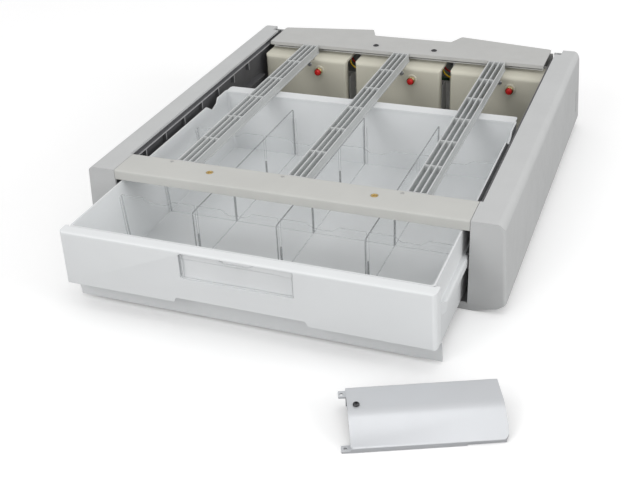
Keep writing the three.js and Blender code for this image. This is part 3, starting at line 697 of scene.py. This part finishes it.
def make_rivet(number, x):
    top = BAR_Z[1]
    profile = [
        (0, 97.9), (1.2, 97.9), (1.2, top + 0.1), (1.9, top + 0.1),
        (1.8, top + 0.4), (1.2, top + 0.7), (0, top + 0.8),
    ]
    rivet = turned(profile, "z", (x - RIVET_LEFT, RIVET_Y, 0), 24)
    finish_piece(f"rivet_{number}", rivet, f"slat_rivet_{number}", SHEET, bevel=0)


PLATE_Y = span("rear_plate", 1)
PLATE_Z = span("rear_plate", 2)
PLATE_SCREW_X = 42
PLATE_SCREW_Y = 450


def make_rear_plate():
    front, rear = PLATE_Y[0], DEPTH - 1
    half = span("rear_plate", 0)[1]
    shape = outline(
        (-half, front, 0.8), (half, front, 0.8), (half, rear, 3), (66, PLATE_Y[1], 3), (56, 490, 2),
        (-56, 490, 2), (-66, PLATE_Y[1], 3), (-half, rear, 3),
    )
    plate = join(
        prism(shape, "z", (PLATE_Z[1] - 2, PLATE_Z[1])),
        block((0.2 - half, half - 0.2), (front, front + 2), (PLATE_Z[0], PLATE_Z[1] - 1)),
    )
    holes = [rod(2.4, "z", (side * PLATE_SCREW_X, PLATE_SCREW_Y, 0), (100, 106)) for _, side in SIDES]
    plate = cut(plate, *holes)
    finish_piece("rear_plate_sheet", plate, "rear_plate", SHEET_PAINT, bevel=0.4)


def cross_recess(centre, axis, reach, width, limits):
    """Two crossed blocks that cut a screwdriver recess."""
    arms = []
    for long, short in ((reach, width), (width, reach)):
        points = rectangle((-long, long), (-short, short))
        arms.append(loft([
            [Vector(centre) + Vector(PLACE[axis](p.x, p.y, at)) for p in points] for at in limits
        ]))
    return arms


def make_screw(name, node, axis, centre, face, outwards, head, length, shaft, material):
    """A pan head screw with a cross recess. outwards is the way the head faces, 1 or -1."""
    tall = 0.36 * head
    profile = [
        (0, face - outwards * length), (shaft, face - outwards * length), (shaft, face), (head, face),
        (head, face + outwards * tall * 0.45), (head * 0.86, face + outwards * tall * 0.8),
        (head * 0.6, face + outwards * tall), (0, face + outwards * tall * 1.08),
    ]
    screw = turned(profile, axis, centre, 36)
    limits = sorted((face + outwards * tall * 0.25, face + outwards * (tall + 1)))
    screw = cut(screw, *cross_recess(centre, axis, head * 0.55, head * 0.13, limits))
    finish_piece(name, screw, node, material, bevel=0)


make_crossbar()
make_rear_plate()
for side_name, side_sign in SIDES:
    make_insert(side_name, side_sign)
    make_screw(
        f"{side_name}_plate_pan_screw", f"{side_name}_plate_screw", "z",
        (side_sign * PLATE_SCREW_X, PLATE_SCREW_Y, 0), face=PLATE_Z[1] + 0.1, outwards=1,
        head=3.9, length=11, shaft=1.9, material=DARK_STEEL,
    )
for slat_number, slat_x in enumerate(SLAT_X, 1):
    make_slat(slat_number, slat_x)
    make_rivet(slat_number, slat_x)


# ---- lock modules -------------------------------------------------------------------------

LOCK_FRONT = span("lock_cover_2", 1)[0] + 2
LOCK_REAR = span("lock_cover_2", 1)[1]
LOCK_Z = span("lock_cover_2", 2)


def make_lock(number):
    cover_node = f"lock_cover_{number}"
    x = middle(cover_node, 0)
    half = (span(cover_node, 0)[1] - span(cover_node, 0)[0]) / 2
    button_x = middle(f"release_button_{number}", 0)
    button_z = middle(f"release_button_{number}", 2)
    screw_x = middle(f"lock_cover_screw_{number}", 0)
    screw_z = middle(f"lock_cover_screw_{number}", 2)
    skin = 2.5
    mouth_half = 16

    def body(inset):
        left, right = x - half + inset, x + half - inset
        front, rear = LOCK_FRONT + inset, LOCK_REAR + inset
        plan = outline((left, front, 4.5 - inset), (right, front, 4.5 - inset), (right, rear), (left, rear))
        side = outline(
            (front, LOCK_Z[0] - inset), (rear, LOCK_Z[0] - inset), (rear, LOCK_Z[1] - inset),
            (front, LOCK_Z[1] - inset, 6 - inset), steps=8,
        )
        return common(
            prism(plan, "z", (LOCK_Z[0] - 2 * inset, LOCK_Z[1])),
            prism(side, "x", (x - half, x + half)),
        )

    cover = cut(body(0), body(skin))
    boss = [
        (0, LOCK_FRONT + 1), (7.6, LOCK_FRONT + 1), (7.6, LOCK_FRONT - 1.4),
        (7.0, LOCK_FRONT - 2), (0, LOCK_FRONT - 2),
    ]
    bore_depth = (LOCK_FRONT - 3, LOCK_FRONT + 6)
    cover = join(cover, turned(boss, "y", (button_x, 0, button_z), 40))
    cover = cut(
        cover,
        rod(4.7, "y", (button_x, 0, button_z), bore_depth),
        rod(1.8, "y", (screw_x, 0, screw_z), bore_depth, 20),
        block((x - mouth_half, x + mouth_half), (LOCK_FRONT - 1, LOCK_FRONT + 5), (21, 34)),
        block(
            (x - half - 1, x + half + 1), (LOCK_FRONT + 8, LOCK_REAR + 1),
            (LOCK_Z[0] - 1, LOCK_Z[1] - skin - 0.8),
        ),
    )
    finish_piece(f"lock_module_cover_{number}", cover, cover_node, CREAM, bevel=0.5)

    make_screw(
        f"module_pan_screw_{number}", f"lock_cover_screw_{number}", "y", (screw_x, 0, screw_z),
        face=LOCK_FRONT - 0.3, outwards=-1, head=3.1, length=12, shaft=1.5, material=ZINC,
    )

    back = LOCK_FRONT - 2.3
    rim = 5.35
    bush = turned([
        (3.3, back + 8), (3.3, back - 0.8), (4.5, back - 0.8), (4.5, back - 4.2), (rim - 0.6, back - 4.6),
        (rim - 0.35, back - 4.75), (rim - 0.1, back - 4.6), (rim, back - 4.2), (rim, back - 2.9),
        (rim - 0.35, back - 2.7), (rim - 0.35, back - 2.3), (rim, back - 2.1), (rim, back),
        (4.2, back), (4.2, back + 8),
    ], "y", (button_x, 0, button_z), 40)
    finish_piece(f"chrome_bush_{number}", bush, f"button_bush_{number}", CHROME, bevel=0)

    tip = LOCK_FRONT - 11.6
    cap = 4.15
    button = turned([
        (0, tip), (0.3 * cap, tip + 0.08), (0.55 * cap, tip + 0.3), (0.76 * cap, tip + 0.75),
        (0.9 * cap, tip + 1.4), (0.98 * cap, tip + 2.2), (cap, tip + 3.0), (cap, tip + 5.2),
        (cap - 0.2, tip + 5.4), (3, tip + 5.4), (3, tip + 22), (0, tip + 22),
    ], "y", (button_x, 0, button_z), 40)
    finish_piece(f"red_push_button_{number}", button, f"release_button_{number}", RED, bevel=0)

    keep_node(f"solenoid_{number}", DARK_STEEL, 0.6)
    keep_node(f"lock_bolt_{number}", STRIKE, 0.2)
    keep_node(f"strike_{number}", STRIKE, 0.3)


def make_link_wire(name, node, material, sag):
    """A short wire that hangs in a loop between two modules."""
    x = span(node, 0)
    left = x[0] + 1.4
    rear = span(node, 1)[1] - 1.2
    top = LOCK_Z[1] - 3.8
    stations = ((0, 0, 0), (4, -3, 0.7), (13, -5, 1), (20, -3, 0.65), (23, 0, 0))
    path = [(left + dx, rear + dy, top - drop * sag) for dx, dy, drop in stations]
    finish_piece(name, tube(path, 1.1), node, material, bevel=0)


for lock_number in (1, 2, 3):
    make_lock(lock_number)
for wire_number in (1, 2):
    make_link_wire(f"yellow_link_wire_{wire_number}", f"yellow_wire_{wire_number}", YELLOW_WIRE, 14)
    make_link_wire(f"red_link_wire_{wire_number}", f"red_wire_{wire_number}", RED_WIRE, 9)
# The bulkhead's lighter paint is painted light.
keep_node("lock_bulkhead", BULKHEAD_LIGHT, 0.3)
keep_node("control_board", BOARD, 0.2)
keep_node("rear_panel", SHEET_PAINT, 0.3)
keep_node("base_pan", SHEET, 0.3)


# ---- drawer -------------------------------------------------------------------------------

TRAY_X = 192.5
TRAY_Y = span("drawer_tray", 1)
TRAY_Z = span("drawer_tray", 2)
REAR_WALL = 270.0
FACE_Y = span("drawer_front", 1)[0]
FACE_BACK = span("drawer_front", 1)[1]
FACE_Z = span("drawer_front", 2)
LIP = 14.9
LEDGE_X = 198.3
GUIDE_GAP = 2.3  # from a divider's middle to the middle of the rib beside it
GUIDE_HALF = 0.7
COLUMNS = [middle(f"long_divider_{n}", 0) for n in (1, 2, 3)]
ROWS = [middle(f"cross_divider_{n}", 1) for n in (1, 2, 3)]


def make_tray():
    front_high = FACE_Y + LIP - 1.7
    rear = REAR_WALL + 2.5
    low, top = TRAY_Z

    def ring(half, front, back, radius):
        return rectangle((-half, half), (front, back), radius, steps=8)

    body = taper(
        ring(TRAY_X, FACE_BACK + 3.4, rear, 3),
        ring(TRAY_X, front_high, rear, 3),
        (low, top),
    )
    hollow = taper(
        ring(186, FACE_BACK + 5.4, REAR_WALL, 5),
        ring(190.7, front_high + 1.9, REAR_WALL, 3.5),
        (low + 2, top + 0.02),
    )
    tray = cut(body, hollow)
    ledges = []
    for _, side in SIDES:
        section = outline((TRAY_X - 1, 49.6), (LEDGE_X, 49.6, 2), (LEDGE_X, 62, 3), (TRAY_X - 1, 62))
        plan = outline(
            (TRAY_X - 2, -94), (LEDGE_X + 0.1, -78, 14),
            (LEDGE_X + 0.1, REAR_WALL + 2, 3), (TRAY_X - 2, REAR_WALL + 2),
        )
        ledges.append(common(
            prism(sided(section, side), "y", (-95, REAR_WALL + 3)),
            prism(sided(plan, side), "z", (48, 63)),
        ))
    rear_flange = prism(
        outline((-191, REAR_WALL - 1.5), (191, REAR_WALL - 1.5), (191, TRAY_Y[1], 4), (-191, TRAY_Y[1], 4)),
        "z", (top - 1.9, top),
    )
    flange_lip = block((-186, 186), (TRAY_Y[1] - 1.6, TRAY_Y[1]), (top - 4.2, top - 1))
    tray = join(tray, *ledges, rear_flange, flange_lip)
    vee = outline((208, top + 1), (210, top + 1), (226, top - 9.5, 3), (239, top - 6, 3), (245, top + 1))
    tray = cut(tray, prism(vee, "x", (-TRAY_X - 1, TRAY_X + 1)))
    guides = []
    for x in COLUMNS:
        for shift in (-GUIDE_GAP, GUIDE_GAP):
            across = (x + shift - GUIDE_HALF, x + shift + GUIDE_HALF)
            guides.append(block(across, (REAR_WALL - 1.6, REAR_WALL + 1), (low + 1, 64)))
    for y in ROWS:
        for _, side in SIDES:
            for shift in (-GUIDE_GAP, GUIDE_GAP):
                across = (y + shift - GUIDE_HALF, y + shift + GUIDE_HALF)
                guides.append(taper(
                    rectangle(sorted((side * 184.0, side * 188)), across),
                    rectangle(sorted((side * 188.2, side * 191.6)), across),
                    (low + 1, 78),
                ))
    tray = join(tray, *guides)
    # The tray's darker copy of the drawer plastic is painted shade.
    finish_piece("drawer_tray_shell", tray, "drawer_tray", TRAY_SHADED, bevel=0.6)


LABEL_X = tuple(a + b for a, b in zip(span("label_window", 0), (-0.4, 0.4)))
LABEL_Z = tuple(a + b for a, b in zip(span("label_window", 2), (-0.3, 0.3)))


def pull_slot():
    """The upright slot beside the label's left end."""
    left = LABEL_X[0]
    return rectangle((left - 2, left + 0.6), (LABEL_Z[0] + 1.2, LABEL_Z[1] - 1.2), 1.2)


def make_front():
    skin = 2.2
    low, top = FACE_Z

    def plan(inset, half):
        back = FACE_BACK + (1 if inset else 0)
        return outline(
            (-half + inset, FACE_Y + inset, 5 - inset), (half - inset, FACE_Y + inset, 5 - inset),
            (half - inset, FACE_Y + LIP, 2), (TRAY_X + 2.6 - inset, back),
            (-TRAY_X - 2.6 + inset, back), (-half + inset, FACE_Y + LIP, 2), steps=6,
        )

    def body(inset, low, high):
        return taper(plan(inset, 199), plan(inset, 197.5), (low, high))

    profile = outline(
        (FACE_Y, low, 0.8), (FACE_Y, top, 2.6), (FACE_BACK + 2, top), (FACE_BACK + 2, low), steps=6,
    )
    front = common(body(0, low, top), prism(profile, "x", (-205, 205)))
    front = cut(
        front,
        body(skin, low - 1, top - skin),
        block((-TRAY_X - 1.3, TRAY_X + 1.3), (FACE_Y + LIP - 2, FACE_BACK + 1), (top - 4, top + 1)),
        block((-200, 200), (FACE_Y + LIP - 0.2, FACE_BACK + 1), (top - 5, top + 1)),
    )
    label_box = block(
        (LABEL_X[0] - 5, LABEL_X[1] + 2), (FACE_Y + 1, FACE_Y + 6.7), (LABEL_Z[0] - 2, top - 1),
    )
    front = join(front, label_box)
    notch = outline((-73, low - 1), (73, low - 1), (69.5, low + 6, 2), (-69.5, low + 6, 2))
    front = cut(
        front,
        prism(rectangle(LABEL_X, LABEL_Z, 1.2), "y", (FACE_Y - 1, FACE_Y + 4.5)),
        prism(pull_slot(), "y", (FACE_Y - 1, FACE_Y + 5.2)),
        prism(notch, "y", (FACE_Y - 1, FACE_Y + 4)),
    )
    finish_piece("drawer_front_panel", front, "drawer_front", DRAWER, bevel=0.55)


def make_label():
    card_x = span("label_card", 0)
    card_outline = rectangle((card_x[0] + 0.8, card_x[1]), span("label_card", 2), 1)
    card = prism(card_outline, "y", span("label_card", 1))
    finish_piece("label_card_sheet", card, "label_card", PAPER, bevel=0.1)
    window_y = span("label_window", 1)
    x = (LABEL_X[0] + 0.1, LABEL_X[1] - 0.1)
    z = (LABEL_Z[0] + 0.1, LABEL_Z[1] - 0.1)
    thumb = ((20, z[1], 3), (13, z[1] - 4, 4), (-13, z[1] - 4, 4), (-20, z[1], 3))
    pane_outline = outline(
        (x[0], z[0], 1), (x[1], z[0], 1), (x[1], z[1], 1), *thumb, (x[0], z[1], 1), steps=4,
    )
    rim_x, rim_z = (x[0] + 1.6, x[1] - 1.6), (z[0] + 1.6, z[1] - 6)
    rim = cut(
        prism(pane_outline, "y", (FACE_Y + 0.5, window_y[1])),
        prism(rectangle(rim_x, rim_z, 1), "y", (FACE_Y, window_y[1] + 1)),
    )
    pane = join(prism(pane_outline, "y", window_y), rim)

    # The rim faces get the whitish film, painted highlight on the window's border.
    def on_rim(face):
        inside_x = rim_x[0] < face.center.x / MM < rim_x[1]
        inside_z = rim_z[0] < face.center.z / MM < rim_z[1]
        return 0 if inside_x and inside_z else 1

    finishes = (WINDOW, WINDOW_RIM_HIGHLIGHT)
    finish_piece("label_window_pane", pane, "label_window", *finishes, bevel=0.2, choose=on_rim)


def make_skirt():
    y = span("drawer_skirt", 1)
    z = span("drawer_skirt", 2)
    profile = outline(
        (y[0] + 2.8, z[0], 0.6), (y[1], z[0], 0.6), (y[1], 7.8), (y[0] + 3.7, 7.9),
        (y[0] + 1.5, z[1]), (y[0], z[1]), (y[0] + 2.8, 7.5),
    )
    strip = prism(profile, "x", span("drawer_skirt", 0))
    finish_piece("drawer_skirt_strip", strip, "drawer_skirt", DRAWER, bevel=0.3)


DIVIDER_HALF = 0.9
DIVIDER_END = 189.3


def divider_edge(across):
    """Material index 0 on a thin sheet's wide faces, 2 on its underside and 1 on its other edges; the edge
    tones are painted shade, paler on the underside.
    """

    def finish(face):
        if abs(face.normal[across]) > 0.8:
            return 0
        return 2 if face.normal.z < -0.5 else 1

    return finish


def finish_divider(name, sheet, node, edge, across):
    """Light passes through a clear sheet, so it throws no shadow and hides no diffuse light."""
    finishes = (CLEAR, edge, EDGE_PALE_SHADE)
    choose = divider_edge(across)
    piece = finish_piece(name, sheet, node, *finishes, bevel=0.2, segments=2, choose=choose)
    piece.visible_shadow = False
    piece.visible_diffuse = False


def make_cross_divider(number, y):
    node = f"cross_divider_{number}"
    low, top = span(node, 2)
    thick = (y - DIVIDER_HALF, y + DIVIDER_HALF)
    dip = 5.5
    edges = [-DIVIDER_END, *COLUMNS, DIVIDER_END]
    corners = [(-185.4, low, 1), (185.4, low, 1), (DIVIDER_END, top, 1)]
    for left, right in reversed(list(zip(edges, edges[1:]))):
        centre = (left + right) / 2
        corners += [
            (centre + 18, top, 3), (centre + 10, top - dip, 3),
            (centre - 10, top - dip, 3), (centre - 18, top, 3),
        ]
    corners.append((-DIVIDER_END, top, 1))
    upper_half = ((top + low) / 2 - 0.5, top + 1)
    sheet = cut(
        prism(outline(*corners, steps=4), "y", thick),
        *[block((x - 1.2, x + 1.2), (y - 2, y + 2), upper_half) for x in COLUMNS],
    )
    finish_divider(f"cross_panel_{number}", sheet, node, EDGE_PALE_SHADE, 1)


def make_long_divider(number, x):
    node = f"long_divider_{number}"
    low, top = span(node, 2)
    y = span(node, 1)
    half_height = (span("cross_divider_1", 2)[1] + low) / 2
    side = outline((y[0], low, 2), (y[1], low, 1), (y[1], top, 1), (y[0], top, 3), steps=4)
    sheet = cut(
        prism(side, "x", (x - DIVIDER_HALF, x + DIVIDER_HALF)),
        *[block((x - 2, x + 2), (row - 1.2, row + 1.2), (0, half_height - 0.1)) for row in ROWS],
    )
    finish_divider(f"long_panel_{number}", sheet, node, EDGE_DARK_SHADE, 0)


make_tray()
make_front()
make_label()
make_skirt()
for index in range(3):
    make_cross_divider(index + 1, ROWS[index])
    make_long_divider(index + 1, COLUMNS[index])


# ---- loose cover --------------------------------------------------------------------------

COVER_CORNER = (156.8, -238.1)
COVER_TURN = math.radians(23.5)
COVER_LENGTH = 136.6
COVER_LIP = 4.5
COVER_SKIN = 1.6
COVER_SLOPE = 32.2  # the sloping part's width
COVER_SLOPE_ANGLE = math.radians(30)
COVER_FLAT = 35.4  # the level part's width
COVER_FOLD = COVER_SLOPE * math.cos(COVER_SLOPE_ANGLE)
COVER_FAR = COVER_FOLD + COVER_FLAT
COVER_TOP = COVER_LIP + COVER_SLOPE * math.sin(COVER_SLOPE_ANGLE)
COVER_SCREW = (8.0, 38.0)


def laid(work):
    """Turns a piece made at the origin and lays it in the cover's place on the floor."""
    turn = Matrix.Translation((*COVER_CORNER, 0)) @ Matrix.Rotation(COVER_TURN, 4, "Z")
    work.data.transform(turn)
    return work


def make_loose_cover():
    skin = COVER_SKIN
    far, fold, rise = COVER_FAR, COVER_FOLD, COVER_TOP
    section = outline(
        (0, COVER_LIP, 0.8), (fold, rise, 22), (far, rise, 2.4), (far, 0), (far - skin, 0),
        (far - skin, rise - skin, 0.8), (fold + 0.4, rise - skin, 20.5),
        (1.4, COVER_LIP - skin), (skin, 0), (0, 0),
        steps=14,
    )
    plan = outline((-1, -1), (COVER_LENGTH, -1, 9), (COVER_LENGTH, far + 1), (-1, far + 1), steps=8)
    body = common(prism(section, "x", (0, COVER_LENGTH)), prism(plan, "z", (-1, rise + 1)))
    body = cut(body, block((COVER_LENGTH * 0.73, COVER_LENGTH + 1), (-1, 1.2), (-1, COVER_LIP - skin)))

    def tab(reach, front, back):
        return outline((-reach, front, 1.2), (1, front), (1, back), (-reach, back, 1.2), steps=4)

    tab_low = rise - skin - 1.5
    body = join(
        body,
        prism(tab(8, 0.2, 8.2), "z", (0, skin)),
        block((0, skin), (0.2, 8.2), (0, COVER_LIP + 1)),
        prism(tab(7, far - 12, far - 3), "z", (tab_low, rise - skin)),
        block((0, 3), (far - 12, far - 3), (tab_low, rise - 0.5)),
    )
    body = cut(
        body,
        rod(1.6, "z", (-4.4, 4.2, 0), (-1, 3), 24),
        rod(1.6, "z", (-3.9, far - 7.5, 0), (rise - 5, rise), 24),
        rod(1.8, "z", (*COVER_SCREW, 0), (rise - 5, rise + 2), 24),
    )
    finish_piece("loose_cover_plate", laid(body), "loose_cover", COVER, bevel=0.35)


def make_cover_screw():
    face = COVER_TOP + 0.2
    head = 3.0
    profile = [
        (0, face - 9), (1.5, face - 9), (1.5, face), (head, face), (head, face + 0.9),
        (2.5, face + 1.7), (1.8, face + 2.1), (0, face + 2.2),
    ]
    screw = cut(
        turned(profile, "z", (*COVER_SCREW, 0), 36),
        *cross_recess((*COVER_SCREW, 0), "z", 1.7, 0.4, (face + 0.8, face + 4)),
    )
    finish_piece("loose_cover_pan_screw", laid(screw), "loose_cover_screw", DARK_STEEL, bevel=0)


make_loose_cover()
make_cover_screw()


# ---- stage, light and camera --------------------------------------------------------------


def lit_paper(name, color, glow):
    """Paper with a faint glow of its own, so that a shadowless stretch of it shows white."""
    material = moulded(name, color, 0.9, grain=0.0, mottle=0.002)
    shader = material.node_tree.nodes["Principled BSDF"]
    shader.inputs["Emission Color"].default_value = (1.0, 1.0, 1.0, 1.0)
    shader.inputs["Emission Strength"].default_value = glow
    return material


def make_floor(name, drop, material, seen):
    """A pale floor. The one that the camera sees is whiter than the one that light bounces off."""
    mesh = bpy.data.meshes.new(name)
    reach = 12.0
    corners = [(-reach, -reach, 0), (reach, -reach, 0), (reach, reach, 0), (-reach, reach, 0)]
    mesh.from_pydata(corners, [], [(0, 1, 2, 3)])
    floor = bpy.data.objects.new(name, mesh)
    bpy.context.scene.collection.objects.link(floor)
    floor.location.z = -drop
    floor.visible_camera = seen
    floor.visible_diffuse = not seen
    floor.visible_glossy = not seen
    mesh.materials.append(material)


def add_light(name, location, target, size, power):
    light = bpy.data.lights.new(name, "AREA")
    light.shape = "DISK"
    light.size = size
    light.energy = power
    lamp = bpy.data.objects.new(name, light)
    bpy.context.scene.collection.objects.link(lamp)
    lamp.location = location
    lamp.rotation_euler = (Vector(target) - Vector(location)).to_track_quat("-Z", "Y").to_euler()


def make_world(horizon, zenith):
    """A soft studio ceiling that is brightest overhead; the backdrop itself shows white."""
    world = bpy.data.worlds.new("studio")
    bpy.context.scene.world = world
    world.use_nodes = True
    tree = world.node_tree
    background = tree.nodes["Background"]
    background.inputs["Color"].default_value = (1.0, 1.0, 1.0, 1.0)
    direction = tree.nodes.new("ShaderNodeTexCoord")
    split = tree.nodes.new("ShaderNodeSeparateXYZ")
    height = tree.nodes.new("ShaderNodeMapRange")
    height.inputs["To Min"].default_value = horizon
    height.inputs["To Max"].default_value = zenith
    backdrop = tree.nodes.new("ShaderNodeBackground")
    ray = tree.nodes.new("ShaderNodeLightPath")
    mix = tree.nodes.new("ShaderNodeMixShader")
    tree.links.new(direction.outputs["Generated"], split.inputs["Vector"])
    tree.links.new(split.outputs["Z"], height.inputs["Value"])
    tree.links.new(height.outputs["Result"], background.inputs["Strength"])
    tree.links.new(ray.outputs["Is Camera Ray"], mix.inputs["Fac"])
    tree.links.new(background.outputs["Background"], mix.inputs[1])
    tree.links.new(backdrop.outputs["Background"], mix.inputs[2])
    tree.links.new(mix.outputs["Shader"], tree.nodes["World Output"].inputs["Surface"])
    backdrop.inputs["Color"].default_value = (1.0, 1.0, 1.0, 1.0)


CAMERA_PLACE = (0.38124, -1.08648, 0.59114)
CAMERA_TURN = (22.05, 30.59, -2.69)  # yaw, pitch and roll in degrees
FOCAL_LENGTH = 56.45
SENSOR_WIDTH = 36.0


def make_camera():
    yaw, pitch, roll = (math.radians(angle) for angle in CAMERA_TURN)
    ahead = Vector((-math.sin(yaw) * math.cos(pitch), math.cos(yaw) * math.cos(pitch), -math.sin(pitch)))
    level = Vector((math.cos(yaw), math.sin(yaw), 0))
    over = level.cross(ahead)
    right = math.cos(roll) * level + math.sin(roll) * over
    up = -math.sin(roll) * level + math.cos(roll) * over
    lens = bpy.data.cameras.new("camera")
    lens.lens = FOCAL_LENGTH
    lens.sensor_width = SENSOR_WIDTH
    camera = bpy.data.objects.new("camera", lens)
    bpy.context.scene.collection.objects.link(camera)
    turn = Matrix((right, up, -ahead)).transposed().to_4x4()
    camera.matrix_world = Matrix.Translation(CAMERA_PLACE) @ turn
    bpy.context.scene.camera = camera


WHITE_PAPER = lit_paper("white_paper", srgb(252, 252, 252), 0.12)
GREY_PAPER = moulded("grey_paper", srgb(180, 180, 180), 0.9, grain=0.0, mottle=0.002)
make_floor("floor", 0.0004, WHITE_PAPER, True)
make_floor("bounce_floor", 0.0008, GREY_PAPER, False)
make_world(0.72, 0.74)
add_light("over_cover", (0.5, -0.7, 3.0), (0.2, -0.4, 0.0), 1.2, 6.0)
add_light("front_low", (-1.0, -3.4, 1.0), (0.0, 0.0, 0.0), 1.8, 15.5)
add_light("front_left", (-1.3, -3.4, 2.3), (0.0, 0.0, 0.0), 1.8, 22.0)
add_light("front_right", (1.6, -3.2, 1.3), (0.0, 0.0, 0.0), 1.8, 9.0)
add_light("right", (3.4, -0.4, 1.2), (0.0, 0.0, 0.0), 1.8, 36.0)
make_camera()
bpy.context.scene.view_settings.view_transform = "Standard"
